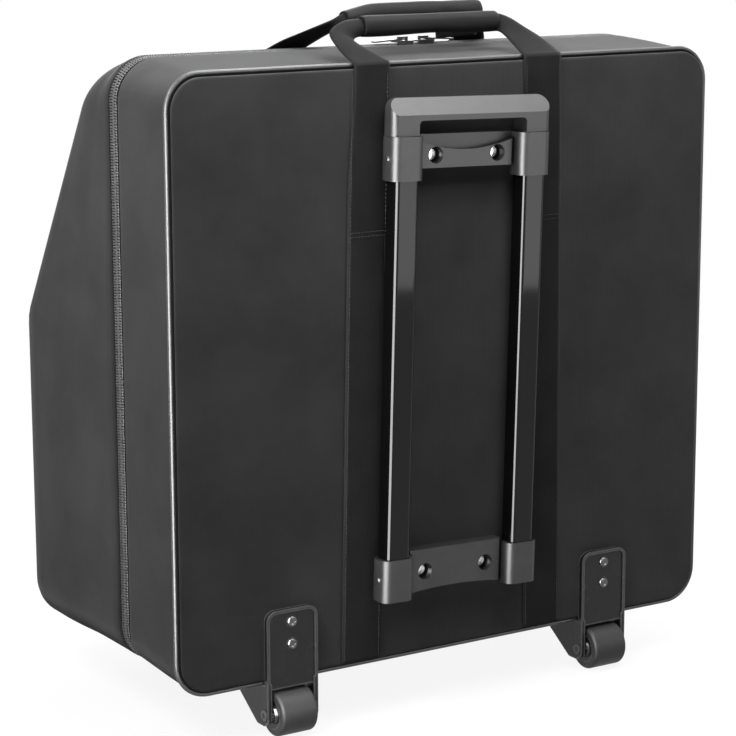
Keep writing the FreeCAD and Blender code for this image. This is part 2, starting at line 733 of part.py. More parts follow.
def wheel_bracket():
    """A moulded bracket centred on X zero."""
    low = bracket_mouth_height
    face = bracket_plate_thickness
    back_plate = box(-cheek_outer, cheek_outer, -face, 0, low, bracket_top)
    corners = [e for e in edges_along(back_plate, AXIS_Y) if e.CenterOfMass.z > bracket_top - body_gap]
    back_plate = back_plate.makeFillet(bracket_corner_radius, corners)
    rim = box(-cheek_outer, cheek_outer, -face - bracket_rim, -face, underside, bracket_top)
    corners = [e for e in edges_along(rim, AXIS_Y) if e.CenterOfMass.z > bracket_top - body_gap]
    rim = rim.makeFillet(bracket_corner_radius, corners)
    field_half = cheek_outer - bracket_rim_width
    field_top = bracket_top - bracket_rim_width
    field = box(-field_half, field_half, -face - overrun, 0, underside - overrun, field_top)
    corners = [e for e in edges_along(field, AXIS_Y) if e.CenterOfMass.z > underside]
    rim = rim.cut(field.makeFillet(bracket_corner_radius - bracket_rim_width, corners))
    foot = box(-cheek_outer, cheek_outer, -face, bracket_foot_length, foot_low, underside)
    whole = fuse([back_plate, rim, foot, cheek(-cheek_outer), cheek(cheek_inner)])
    piping_bottom = underside + piping_inset - piping_radius
    return whole.cut(box(-cheek_outer, cheek_outer, 0, piping_radius * 2, piping_bottom, ridge))


def wheel_rivet(z):
    """A domed rivet through a bracket, the panel and the washer plate."""
    face = -bracket_plate_thickness
    head = Part.makeSphere(rivet_head_radius, vec(0, face, z))
    head = head.common(box(-overrun, overrun, face - rivet_head_height, face, z - overrun, z + overrun))
    shank = rod(rivet_radius, board_thickness + washer_plate_thickness - face, vec(0, face, z), AXIS_Y)
    return fuse([head, shank])


bracket = wheel_bracket()
rivets = group([wheel_rivet(z) for z in (lower_rivet_height, upper_rivet_height)])
washer = box(-washer_plate_width / 2, washer_plate_width / 2, board_thickness,
             board_thickness + washer_plate_thickness, lower_rivet_height - washer_plate_margin,
             upper_rivet_height + washer_plate_margin)
axle = rod(axle_radius, cheek_outer * 2, vec(-cheek_outer, axle_depth, axle_height), AXIS_X)
axle_head = rod(axle_head_radius, axle_head_height, vec(cheek_outer, axle_depth, axle_height), AXIS_X)
axle = fuse([axle, axle_head, mirrored(axle_head)])
bracket = bracket.cut(rivets).cut(axle)
washer = washer.cut(rivets)

tyre = rod(wheel_radius, wheel_width, vec(-wheel_width / 2, axle_depth, axle_height), AXIS_X)
tyre = tyre.makeFillet(tyre_edge_radius, [e for e in tyre.Edges if isinstance(e.Curve, Part.Circle)])
core_radius = wheel_radius - tyre_thickness
core = rod(core_radius, wheel_width, vec(-wheel_width / 2, axle_depth, axle_height), AXIS_X)
tyre = tyre.cut(core)
bore = rod(axle_radius + running_clearance, wheel_width + overrun,
           vec(-(wheel_width + overrun) / 2, axle_depth, axle_height), AXIS_X)
core = core.cut(bore)
cap = rod(hub_cap_radius, hub_cap_height, vec(wheel_width / 2, axle_depth, axle_height), AXIS_X).cut(bore)
caps = group([cap, mirrored(cap)])

wheel_rivets = []
washer_plates = []
for name, side in SIDES:
    step = vec(side * wheel_centre + wheel_offset, 0, 0)
    placed = {"wheel_bracket_": bracket, "wheel_axle_": axle, "wheel_tyre_": tyre,
              "wheel_core_": core, "wheel_caps_": caps}
    for stem, shape in placed.items():
        nodes[stem + name] = shape.translated(step)
    wheel_rivets += [s.translated(step) for s in rivets.Solids]
    washer_plates.append(washer.translated(step))
nodes["wheel_rivets"] = group(wheel_rivets)
nodes["washer_plates"] = group(washer_plates)

# The trolley's pieces in their place on the panel
nodes.update({
    "trolley_upper_bracket": leaned(upper_bracket),
    "trolley_lower_bracket": leaned(lower_bracket),
    "trolley_bracket_screws": leaned(bracket_screws),
    "backing_plate_upper": leaned(backing_plate_upper),
    "backing_plate_lower": leaned(backing_plate_lower),
    "collar_rivets": leaned(group(collar_rivets)),
    "trolley_grip": leaned(trolley_grip),
    "grip_pins": leaned(grip_pins),
    "inner_tube_glides": leaned(group([glide, mirrored(glide)])),
})
for name, side in SIDES:
    nodes["trolley_tube_" + name] = leaned(on_side(trolley_tube, side))
    nodes["inner_tube_" + name] = leaned(on_side(inner_tube, side))

# The panel's holes and the lining's pockets follow the fasteners
back_panel = back_panel.cut(nodes["trolley_bracket_screws"]).cut(nodes["wheel_rivets"])
for fitting in ("trolley_bracket_screws", "backing_plate_upper", "backing_plate_lower",
                "wheel_rivets", "washer_plates"):
    rear_lining = rear_lining.cut(nodes[fitting])

# Feet under the cover, as tall as the wheels reach
foot_half_x = foot_length / 2
foot_half_y = foot_width / 2


def foot_rect(z, share):
    """A foot's section at a height, as a share of its size at the case."""
    x = foot_half_x * share
    y = foot_half_y * share
    points = [vec(foot_centre - x, foot_depth - y, z), vec(foot_centre + x, foot_depth - y, z),
              vec(foot_centre + x, foot_depth + y, z), vec(foot_centre - x, foot_depth + y, z)]
    return Part.makePolygon(points + points[:1])


foot = Part.makeLoft([foot_rect(underside, 1.0), foot_rect(pad_thickness, foot_taper_share)], True, True)
pad = Part.Face(foot_rect(0, foot_taper_share)).extrude(vec(0, 0, pad_thickness))
foot_screw = fuse([
    rod(foot_screw_radius, underside + board_thickness - pad_thickness,
        vec(foot_centre, foot_depth, pad_thickness), AXIS_Z),
    rod(foot_screw_head_radius, foot_screw_head_height,
        vec(foot_centre, foot_depth, underside + board_thickness), AXIS_Z),
])
foot_screws = group([foot_screw, mirrored(foot_screw)])
foot = foot.cut(foot_screws)
for name, side in SIDES:
    nodes["foot_" + name] = on_side(foot, side)
nodes["foot_pads"] = group([pad, mirrored(pad)])
cover_gusset = cover_gusset.cut(foot_screws)
cover_lining = cover_lining.cut(foot_screws)

# Zip sliders: a plate over the coil, a flange on the tray's side and a bridge for the pull
coil_top = ridge - coil_inset
plate_low = coil_top + body_gap
plate_high = plate_low + slider_plate
tape_top = ridge - zip_recess
pull_axis_z = plate_high + bridge_height - bridge_bar - pull_eye_radius - slide_clearance
slider_half = slider_width / 2


def slider_at(x):
    """A slider body centred on X."""
    half = slider_length / 2
    top = box(x - half, x + half, zip_centre - slider_half, zip_centre + slider_half, plate_low, plate_high)
    upright = edges_along(top, AXIS_Z)
    top = top.makeFillet(slider_plate, upright)
    flange_y = rear_edge - coil_width - body_gap
    flange = box(x - half + slider_plate, x + half - slider_plate, flange_y - slider_flange, flange_y,
                 tape_top + body_gap, plate_low)
    loop = box(x - bridge_length / 2, x + bridge_length / 2, zip_centre - bridge_width / 2,
               zip_centre + bridge_width / 2, plate_high, plate_high + bridge_height)
    window = box(x - bridge_length / 2 + bridge_bar, x + bridge_length / 2 - bridge_bar,
                 zip_centre - bridge_width, zip_centre + bridge_width, plate_high,
                 plate_high + bridge_height - bridge_bar)
    return fuse([top, flange, loop.cut(window)])


def pull_at(x, side):
    """A pull tab lying away from its slider, with an eye whose round bar runs under the bridge."""
    arm_half = bridge_width / 2 + body_gap
    tab = box(0, pull_length, -pull_width / 2, pull_width / 2, -pull_thickness / 2, pull_thickness / 2)
    far_corners = [e for e in edges_along(tab, AXIS_Z) if e.CenterOfMass.x > pull_eye_length]
    tab = tab.makeFillet(pull_width * pull_corner_share, far_corners)
    tab = tab.cut(box(-overrun, pull_eye_length, -arm_half, arm_half, -pull_thickness, pull_thickness))
    tab = fuse([tab, rod(pull_eye_radius, pull_width, vec(0, -pull_width / 2, 0), AXIS_Y)])
    tab.rotate(vec(0, 0, 0), AXIS_Y, pull_droop)
    tab = on_side(tab, side)
    tab.translate(vec(x, zip_centre, pull_axis_z))
    return tab


slider_x = {}
for name, side in SIDES:
    x = slider_meeting + side * (slider_length / 2 + slider_end_gap / 2)
    slider_x[name] = x
    nodes["zip_slider_" + name] = slider_at(x)
    nodes["zip_pull_" + name] = pull_at(x, side)

nodes.update({
    "back_panel": back_panel,
    "rear_gusset": rear_gusset,
    "rear_piping": rear_piping,
    "rear_lining": rear_lining,
    "rear_zip_tape": rear_zip_tape,
    "rear_zip_coil": rear_zip_coil,
    "rear_hinge_tape": rear_hinge_tape,
    "cover_gusset": cover_gusset,
    "cover_front_board": cover_front_board,
    "cover_piping": cover_piping,
    "cover_lining": cover_lining,
    "cover_zip_tape": cover_zip_tape,
    "cover_zip_coil": cover_zip_coil,
    "cover_hinge_tape": cover_hinge_tape,
    "foot_screws": foot_screws,
})

for name, shape in sorted(nodes.items()):
    placed = shape.copy()
    placed.translate(vec(0, step_to_middle, 0))
    placed.exportStep("parts/" + name + ".step")
    print(name, len(placed.Solids), "solids", placed.isValid(), round(placed.Volume))

print("step to middle", step_to_middle)
print("hinge axis", zip_centre + step_to_middle, underside)
print("rear handle pivot", rear_pivot.y + step_to_middle, rear_pivot.z)
print("cover handle pivot", cover_pivot.y + step_to_middle, cover_pivot.z)
print("rear grip centre", rear_grip_centre.y + step_to_middle, rear_grip_centre.z)
print("cover grip centre", cover_grip_centre.y + step_to_middle, cover_grip_centre.z)
print("axle", axle_depth + step_to_middle, axle_height)
print("pull pivots", slider_x, zip_centre + step_to_middle, pull_axis_z)
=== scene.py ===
"""Looks of the accordion case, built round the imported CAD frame.

Shapes are drawn in millimetres in the case's own directions: X across, Y from the back
panel's face towards the sloping front, Z up from the floor. put() brings them into the
row frame in metres. A ring is the case's rounded outline, seen from the back and drawn in
by an inset. Most cloth pieces are rings at several depths, joined by quads.
"""
import bpy
import bmesh
import json
import math
import numpy as np
from mathutils import Matrix, Vector, noise


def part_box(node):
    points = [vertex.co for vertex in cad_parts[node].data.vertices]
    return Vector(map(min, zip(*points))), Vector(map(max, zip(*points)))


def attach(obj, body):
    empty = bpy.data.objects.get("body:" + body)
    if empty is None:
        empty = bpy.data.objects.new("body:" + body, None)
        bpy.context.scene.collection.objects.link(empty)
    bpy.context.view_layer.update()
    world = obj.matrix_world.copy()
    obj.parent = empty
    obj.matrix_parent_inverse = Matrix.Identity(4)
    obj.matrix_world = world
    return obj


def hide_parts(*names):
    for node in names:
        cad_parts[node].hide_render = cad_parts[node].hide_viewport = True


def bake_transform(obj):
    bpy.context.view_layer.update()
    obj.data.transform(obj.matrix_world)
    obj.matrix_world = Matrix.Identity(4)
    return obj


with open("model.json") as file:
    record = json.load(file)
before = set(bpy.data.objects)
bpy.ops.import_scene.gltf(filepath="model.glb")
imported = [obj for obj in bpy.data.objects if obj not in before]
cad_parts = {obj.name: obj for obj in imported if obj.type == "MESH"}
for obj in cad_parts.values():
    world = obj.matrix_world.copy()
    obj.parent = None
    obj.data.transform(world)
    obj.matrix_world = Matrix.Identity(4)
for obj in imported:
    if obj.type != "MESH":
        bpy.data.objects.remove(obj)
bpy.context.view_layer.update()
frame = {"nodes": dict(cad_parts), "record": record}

# Sizes of the CAD model, in millimetres
STEP = -123.825
CASE_WIDTH = 529.0
CASE_HEIGHT = 498.4
LOW = 46.8
DEPTH = 270.5
TOP_DEPTH = 130.0
BOARD = 6.0
REAR = 90.0
ZIP = 98.0
RIM = 106.0
CROWN_AT_REAR = 7.8
CROWN_AT_RIM = 8.6
BACK_R = 28.0
RIM_R = 36.0
KINK = 322.0
KINK_R = 30.0
STRAP = 38.0
STRAP_X = 92.0
WHEEL_X = (-162.5, 157.5)
LEAN = math.radians(1.6)

# Sizes that follow from them
HALF = CASE_WIDTH / 2
TOP = LOW + CASE_HEIGHT
SLOPE = math.atan2(DEPTH - TOP_DEPTH, TOP - KINK)
CROWN_END = TOP_DEPTH - BOARD / math.cos(SLOPE)
STRAP_HALF = STRAP / 2


def put(points):
    """Case millimetres to row-frame metres."""
    moved = np.asarray(points, float).reshape(-1, 3).copy()
    moved[:, 1] += STEP
    return moved / 1000.0


def slow_noise(x, y, z, size, seed):
    """Smooth noise between about -1 and 1, at a size in millimetres."""
    return noise.noise(Vector((x / size + seed * 7.3, y / size - seed * 3.1, z / size + seed)))


def smooth_step(t):
    """0 below 0, 1 above 1 and an even rise between."""
    t = np.clip(t, 0, 1)
    return t * t * (3 - 2 * t)


# Materials
MIX_A = 6
MIX_B = 7
MIX_RESULT = 2
HOLLOW_SAMPLES = 8
WAVE_SCALE = 50.0


def fill_sockets(made, values):
    for key, value in values.items():
        made.inputs[key].default_value = value


def new_material(name, base, rough, spec=0.5):
    """A material, with its node tree and its Principled shader."""
    material = bpy.data.materials.new(name)
    material.use_nodes = True
    bsdf = material.node_tree.nodes["Principled BSDF"]
    fill_sockets(bsdf, {"Base Color": (*base, 1), "Roughness": rough, "Specular IOR Level": spec})
    return material, material.node_tree, bsdf


def node(tree, kind, **values):
    """A shader node with its sockets and settings filled in by name."""
    made = tree.nodes.new(kind)
    for key, value in values.items():
        if key in made.inputs:
            made.inputs[key].default_value = value
        else:
            setattr(made, key, value)
    return made


def link(tree, source, out, target, into):
    tree.links.new(source.outputs[out], target.inputs[into])


def map_range(tree, source, out, ends):
    """A Map Range node on a source, with the ends that are given by name."""
    ranged = node(tree, "ShaderNodeMapRange")
    fill_sockets(ranged, ends)
    link(tree, source, out, ranged, "Value")
    return ranged


def maths(tree, operation, *terms):
    """A Math node as (node, output); its terms are numbers or other (node, output) pairs."""
    made = node(tree, "ShaderNodeMath", operation=operation)
    for i, term in enumerate(terms):
        if isinstance(term, tuple):
            link(tree, *term, made, i)
        else:
            made.inputs[i].default_value = term
    return made, "Value"


def mottled(tree, bsdf, coords, colours, scale, rough_range):
    """Colour and roughness that vary slowly over the surface."""
    cloud = node(tree, "ShaderNodeTexNoise", Scale=scale, Detail=3.0, Roughness=0.6)
    link(tree, coords, "Object", cloud, "Vector")
    ramp = node(tree, "ShaderNodeValToRGB")
    for stop, place, colour in zip(ramp.color_ramp.elements, (0.3, 0.7), colours):
        stop.position = place
        stop.color = (*colour, 1)
    link(tree, cloud, "Fac", ramp, "Fac")
    link(tree, ramp, "Color", bsdf, "Base Color")
    rough = map_range(tree, cloud, "Fac", {"To Min": rough_range[0], "To Max": rough_range[1]})
    link(tree, rough, "Result", bsdf, "Roughness")


def bump_from(tree, bsdf, source, out, strength, depth):
    bump = node(tree, "ShaderNodeBump", Strength=strength, Distance=depth)
    link(tree, source, out, bump, "Height")
    link(tree, bump, "Normal", bsdf, "Normal")


def weave_bump(tree, bsdf, coords, pitch, depth, strength, diagonal, grain):
    """Crossed threads as bump, with a little unevenness."""
    cross_share = 0.6
    turn = node(tree, "ShaderNodeMapping", Rotation=(diagonal, diagonal, diagonal))
    link(tree, coords, "Object", turn, "Vector")
    waves = []
    for axis in ("X", "Y", "Z"):
        wave = node(tree, "ShaderNodeTexWave", bands_direction=axis, Scale=WAVE_SCALE / pitch, Distortion=0.4,
                    Detail=0.0)
        link(tree, turn, "Vector", wave, "Vector")
        waves.append((wave, "Fac"))
    crossed = maths(tree, "MULTIPLY", waves[0], waves[2])
    weaker = maths(tree, "MULTIPLY", waves[1], cross_share)
    threads = maths(tree, "ADD", crossed, weaker)
    fuzz = node(tree, "ShaderNodeTexNoise", Scale=1400.0, Detail=2.0)
    link(tree, coords, "Object", fuzz, "Vector")
    uneven = maths(tree, "MULTIPLY_ADD", (fuzz, "Fac"), grain, threads)
    bump_from(tree, bsdf, *uneven, strength, depth)


def woven(name, dark, light, rough=(0.75, 0.9), pitch=0.9, depth=0.00015, strength=0.35, sheen=0.15,
          diagonal=0.0, spec=0.3, scale=14.0, grain=0.3):
    """Cloth: two slowly mixed colours under a fine weave."""
    material, tree, bsdf = new_material(name, dark, rough[0], spec)
    fill_sockets(bsdf, {"Sheen Weight": sheen, "Sheen Roughness": 0.5})
    coords = node(tree, "ShaderNodeTexCoord")
    mottled(tree, bsdf, coords, (dark, light), scale, rough)
    weave_bump(tree, bsdf, coords, pitch, depth, strength, diagonal, grain)
    return material


def mix_base(tree, bsdf, mix):
    """Puts a colour mix between the base colour and what feeds it."""
    plain = bsdf.inputs["Base Color"].links[0].from_socket
    tree.links.new(plain, mix.inputs[MIX_A])
    link(tree, mix, MIX_RESULT, bsdf, "Base Color")


def painted_hollow_shade(tree, bsdf, reach):
    """Painted shade: the colour falls off inside holes and narrow gaps, where shade would fall."""
    hollow = node(tree, "ShaderNodeAmbientOcclusion", Distance=reach, samples=HOLLOW_SAMPLES)
    darker = node(tree, "ShaderNodeMix", data_type="RGBA", blend_type="MULTIPLY", Factor=1.0)
    link(tree, *maths(tree, "POWER", (hollow, "AO"), 1.6), darker, MIX_B)
    mix_base(tree, bsdf, darker)


def painted_edge_highlight(tree, bsdf, reach, highlight_colour):
    """Painted highlight: the colour lightens within reach of an outward edge."""
    edge = node(tree, "ShaderNodeAmbientOcclusion", Distance=reach, samples=HOLLOW_SAMPLES, inside=True)
    near = map_range(tree, edge, "AO", {"From Min": 0.93, "From Max": 0.68})
    paler = node(tree, "ShaderNodeMix", data_type="RGBA")
    link(tree, near, "Result", paler, "Factor")
    paler.inputs[MIX_B].default_value = (*highlight_colour, 1.0)
    mix_base(tree, bsdf, paler)


def moulded(name, dark, light, rough=(0.35, 0.5), spec=0.5, grain=900.0, strength=0.2, metal=0.0,
            hollows=0.0, edges=None):
    """Plastic, rubber, enamel or metal with a fine grain; hollows adds painted shade in hollows, edges a
    painted highlight along outward edges.
    """
    material, tree, bsdf = new_material(name, dark, rough[0], spec)
    bsdf.inputs["Metallic"].default_value = metal
    coords = node(tree, "ShaderNodeTexCoord")
    mottled(tree, bsdf, coords, (dark, light), 40.0, rough)
    fine = node(tree, "ShaderNodeTexNoise", Scale=grain, Detail=3.0)
    link(tree, coords, "Object", fine, "Vector")
    bump_from(tree, bsdf, fine, "Fac", strength, 0.0001)
    if hollows:
        painted_hollow_shade(tree, bsdf, hollows)
    if edges:
        painted_edge_highlight(tree, bsdf, *edges)
    return material


def ribbed_webbing():
    """Ribs along the webbing and finer threads across it, by the piece's own weave directions."""
    material, tree, bsdf = new_material("ribbed_webbing_run", grey(0.02), 0.6, 0.03)
    fill_sockets(bsdf, {"Sheen Weight": 0.04, "Sheen Roughness": 0.45})
    coords = node(tree, "ShaderNodeTexCoord")
    mottled(tree, bsdf, coords, (grey(0.01), grey(0.016)), 30.0, (0.55, 0.72))
    ribs = node(tree, "ShaderNodeTexWave", bands_direction="X", Scale=1.9, Distortion=0.0)
    threads = node(tree, "ShaderNodeTexWave", bands_direction="Y", Scale=3.2, Distortion=0.6)
    link(tree, coords, "UV", ribs, "Vector")
    link(tree, coords, "UV", threads, "Vector")
    both = maths(tree, "MULTIPLY_ADD", (threads, "Fac"), 0.6, (ribs, "Fac"))
    bump_from(tree, bsdf, *both, 0.22, 0.0003)
    return material


def grey(level):
    """A near-neutral grey with a trace of blue."""
    return (level, level, level * 1.03)


MAT = {
    "fabric_black": woven("nylon_cloth", grey(0.030), grey(0.046), spec=0.0, grain=1.2, strength=0.28),
    # Near-black cloth for the groove beside the back panel's piping: painted shade.
    "seam_painted_shade": woven("seam_shade", grey(0.004), grey(0.006), spec=0.02, sheen=0.0),
    "piping_black": moulded("piping_vinyl", grey(0.04), grey(0.055), (0.32, 0.4), 0.4),
    "webbing_black": woven("ribbed_webbing", grey(0.022), grey(0.028), (0.6, 0.75), pitch=1.7, depth=0.0003,
                           strength=0.5, sheen=0.1, diagonal=0.6),
    "web": ribbed_webbing(),
    "handle_fabric": woven("sleeve_cloth", grey(0.008), grey(0.012), (0.5, 0.62), pitch=0.7, sheen=0.03,
                           spec=0.06),
    # Near-black tape: black cloth made darker still, so that where it shows beside the lips it paints the
    # shadow line along the zip.
    "zip_tape": woven("zip_tape_cloth_and_painted_shadow", grey(0.004), grey(0.007), (0.6, 0.8), pitch=1.1, depth=0.0003,
                      strength=0.6, sheen=0.0, spec=0.05),
    "zip_coil": moulded("zip_nylon", grey(0.06), grey(0.085), (0.36, 0.46), 0.3),
    "foam_lining": woven("brushed_lining", grey(0.05), grey(0.075), (0.9, 1.0), pitch=2.2, depth=0.0004,
                         strength=0.4, sheen=0.5, spec=0.1, scale=60.0),
    # The satin plastic gets painted shade in its holes and within reach of the parts close to it.
    "bracket_plastic": moulded("satin_plastic", grey(0.019), grey(0.031), (0.34, 0.46), 0.38, hollows=0.012),
    # The wheel brackets get a painted highlight: their colour is paler near outward edges.
    "wheel_plastic": moulded("dark_plastic", grey(0.009), grey(0.013), (0.24, 0.3), 0.25,
                             edges=(0.0018, grey(0.11))),
    "tube_gloss_black": moulded("gloss_enamel", grey(0.003), grey(0.004), (0.05, 0.07), 0.22, strength=0.01),
    "tube_aluminium": moulded("satin_aluminium", (0.34, 0.35, 0.36), (0.42, 0.42, 0.43), (0.25, 0.35),
                              metal=1.0),
    "chrome_fastener": moulded("bright_plating", (0.75, 0.76, 0.78), (0.82, 0.82, 0.83), (0.12, 0.2),
                               metal=1.0, strength=0.05),
    "plain_steel": moulded("plated_steel", (0.45, 0.46, 0.47), (0.55, 0.55, 0.56), (0.25, 0.4), metal=1.0),
    "wheel_rubber": moulded("wheel_rubber", grey(0.014), grey(0.022), (0.45, 0.6), 0.25, grain=500.0,
                            strength=0.3),
    "slider_metal": moulded("black_enamel", grey(0.02), grey(0.03), (0.25, 0.35), metal=0.4),
    "thread": moulded("sewing_thread", grey(0.014), grey(0.022), (0.6, 0.7), 0.2, grain=2500.0),
    "rivet_metal": moulded("dark_nickel", grey(0.08), grey(0.11), (0.14, 0.2), metal=1.0, strength=0.05),
}

# Small metal ends that the photograph shows as dark as the plastic round them
DARK_SHOWN = {
    "grip_pins": "bracket_plastic",
    "wheel_axle_left": "wheel_plastic",
    "wheel_axle_right": "wheel_plastic",
}
slot_of = {part["node"]: part["material_slot"] for part in frame["record"]["subparts"]}
for name, obj in frame["nodes"].items():
    obj.data.materials.clear()
    obj.data.materials.append(MAT[DARK_SHOWN.get(name, slot_of[name])])


# Mesh helpers
def place_object(name, data):
    obj = bpy.data.objects.new(name, data)
    bpy.context.scene.collection.objects.link(obj)
    return obj


def piece(name, verts, faces, slot, body=None, material=None, merge=True):
    """A mesh object from points in case millimetres, riding on a body."""
    mesh = bpy.data.meshes.new(name)
    mesh.from_pydata([tuple(v) for v in put(verts)], [], faces)
    bm = bmesh.new()
    bm.from_mesh(mesh)
    if merge:
        bmesh.ops.remove_doubles(bm, verts=bm.verts, dist=1e-6)
    bmesh.ops.recalc_face_normals(bm, faces=bm.faces)
    bm.to_mesh(mesh)
    bm.free()
    mesh.validate()
    mesh.polygons.foreach_set("use_smooth", [True] * len(mesh.polygons))
    mesh.materials.append(material or MAT[slot])
    obj = place_object(name, mesh)
    if body:
        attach(obj, body)
    return obj


def sheet_faces(rows, cols, close_rows=False, close_cols=False, start=0):
    """Quads over a grid of points stored row by row."""
    faces = []
    for i in range(rows if close_rows else rows - 1):
        for j in range(cols if close_cols else cols - 1):
            next_i = (i + 1) % rows
            next_j = (j + 1) % cols
            corners = (i * cols + j, i * cols + next_j, next_i * cols + next_j, next_i * cols + j)
            faces.append([start + corner for corner in corners])
    return faces


def capped_tube(rings, sides, start=0, ways=(-1, 1)):
    """Quads round a tube of rings, and a face over each end that runs forwards (1) or back (-1)."""
    faces = sheet_faces(rings, sides, close_cols=True, start=start)
    for first, way in zip((start, start + (rings - 1) * sides), ways):
        faces.append([first + k for k in range(sides)][::way])
    return faces


def full_turn(sides):
    """Angles of evenly spaced points round a circle."""
    return np.linspace(0, 2 * math.pi, sides, endpoint=False)


class Sheets:
    """Grids of points and the quads over them, gathered for one mesh."""

    def __init__(self, rings, closed=False):
        self.points = np.zeros((0, 3))
        self.faces = []
        self.add_rings(rings, closed)

    def add(self, points, rows, cols, close_rows=False, close_cols=False):
        self.faces += sheet_faces(rows, cols, close_rows, close_cols, len(self.points))
        self.points = np.concatenate([self.points, points.reshape(-1, 3)])

    def add_rings(self, rings, closed=False):
        """Rings joined one to the next, and the last to the first if closed."""
        self.add(np.concatenate(rings), len(rings), N_RING, closed, True)

    def add_field(self, x, y, z):
        """One surface over grids of x, y and z."""
        self.add(np.stack([x, y, z], -1), *x.shape)

    def piece(self, name, slot, body, material=None):
        return piece(name, self.points, self.faces, slot, body, material)


# The outline, as points in order round it
N_FLAT = 58
N_SIDE = 54
N_TURN = 12


# Runs round the outline: points, then both corner-centre shares and the direction, from and to
OUTLINE_RUNS = (
    (N_FLAT, -1, 1, 0, 0, -90, -90),
    (N_TURN, 1, 1, 0, 0, -90, 0),
    (N_SIDE, 1, 1, 0, 1, 0, 0),
    (N_TURN, 1, 1, 1, 1, 0, 90),
    (N_FLAT, 1, -1, 1, 1, 90, 90),
    (N_TURN, -1, -1, 1, 1, 90, 180),
    (N_SIDE, -1, -1, 1, 0, 180, 180),
    (N_TURN, -1, -1, 0, 0, 180, 270),
)


def outline_table():
    rows = []
    for count, a0, a1, b0, b1, t0, t1 in OUTLINE_RUNS:
        for k in range(count):
            s = k / count
            t = math.radians(t0 + (t1 - t0) * s)
            rows.append((a0 + (a1 - a0) * s, b0 + (b1 - b0) * s, math.cos(t), math.sin(t)))
    return np.array(rows, float).T


OUT_A, OUT_B, OUT_NX, OUT_NZ = outline_table()
N_RING = len(OUT_A)
OUTWARD = np.stack([OUT_NX, np.zeros(N_RING), OUT_NZ], 1)


def ring(inset, radius, high=TOP):
    """X and Z of the rounded outline drawn in by an inset. high may be an array."""
    centre_x = OUT_A * (HALF - radius)
    centre_z = LOW + radius + OUT_B * (high - LOW - 2 * radius)
    return centre_x + (radius - inset) * OUT_NX, centre_z + (radius - inset) * OUT_NZ


def ring_points(inset, radius, y, high=TOP):
    """A ring as points, at one depth or at an array of depths."""
    x, z = ring(inset, radius, high)
    return np.stack([x, np.broadcast_to(y, x.shape), z], 1)


def front_ring(inset, behind, gap=0.0):
    """A ring that follows the cover's front, a depth and a further gap behind it."""
    x, z = ring(inset, RIM_R)
    return np.stack([x, front_y(z, behind) - gap, z], 1)


def crown(y):
    """Height of the domed top: up to the zip's tape, almost level over it, then down to the slope."""
    return np.interp(y, [0.0, REAR, RIM, CROWN_END], [TOP, TOP + CROWN_AT_REAR, TOP + CROWN_AT_RIM, TOP])


def corner_radius(y):
    """The tray's corners grow rounder from the panel to the zip."""
    return np.interp(y, [BOARD, REAR], [BACK_R, RIM_R])


def fill(inset, radius):
    """A grid of points inside a ring, its border being the ring itself."""
    x, z = ring(inset, radius)
    k = N_TURN // 2
    order = np.roll(np.arange(N_RING), k)
    wide = N_FLAT + 2 * k
    tall = N_SIDE + 2 * k
    bottom = np.arange(0, wide + 1)
    right = np.arange(wide, wide + tall + 1)
    top = np.arange(wide + tall, 2 * wide + tall + 1)[::-1]
    left = np.append(np.arange(2 * wide + tall, N_RING), 0)[::-1]
    u = np.linspace(0, 1, wide + 1)[None, :]
    v = np.linspace(0, 1, tall + 1)[:, None]
    grids = []
    for p in (x[order], z[order]):
        between = (1 - v) * p[bottom][None, :] + v * p[top][None, :]
        between = between + (1 - u) * p[left][:, None] + u * p[right][:, None]
        corners = (1 - u) * (1 - v) * p[0] + u * (1 - v) * p[wide]
        corners = corners + (1 - u) * v * p[top[0]] + u * v * p[top[-1]]
        grids.append(between - corners)
    return grids


def inner_values(x, z, value_at):
    """value_at(x, z) at every inner point of a grid, and zero along its border."""
    values = np.zeros(x.shape)
    for i in range(1, x.shape[0] - 1):
        for j in range(1, x.shape[1] - 1):
            values[i, j] = value_at(x[i, j], z[i, j])
    return values


def front_y(z, inset=0.0):
    """Depth of the cover's front at a height, with the rounded kink."""
    z = np.asarray(z, float)
    bend = KINK - inset * math.tan(SLOPE / 2)
    r = KINK_R - inset
    cut = r * math.tan(SLOPE / 2)
    front = DEPTH - inset
    y = np.full(z.shape, front)
    end = bend + cut * math.cos(SLOPE)
    arc = (z > bend - cut) & (z < end)
    y = np.where(arc, front - r + np.sqrt(np.maximum(r * r - (z - bend + cut) ** 2, 0)), y)
    return np.where(z >= end, front - (z - bend) * math.tan(SLOPE), y)


def undulate(points, amount, size, seed):
    """Moves a ring's points outward by slow noise."""
    swell = amount * np.array([slow_noise(*point, size, seed) for point in points])
    return points + OUTWARD * swell[:, None]


def clear_of(x, middle, half, fade):
    """0 within half of the middle on either side of the case, rising to 1 over fade."""
    return smooth_step((abs(abs(x) - middle) - half) / fade)


def cloth_wave(x, z, border, lift, waves):
    """Depth of the cloth's slow waves on a board, none at its border."""
    gap = min(HALF - border - abs(x), z - LOW - border, TOP - border - z)
    depth = lift + sum(amount * slow_noise(x, 0, z, size, seed) for amount, size, seed in waves)
    return smooth_step(gap / 30.0) * depth


# Back panel: (inset, depth) of the cloth rolled round the board's edge, and its flat places
PANEL_EDGE = ((3.4, 5.6), (3.3, 3.6), (2.7, 2.4), (2.3, 1.5), (2.5, 0.6), (3.2, 0.12), (4.5, 0.0),
              (7.5, 0.0), (11.0, 0.0))
PANEL_WAVES = ((0.5, 95, 1), (0.18, 38, 2))
WHEEL_MIDDLE = 160.0
WHEEL_PLATE_TOP = 125.0


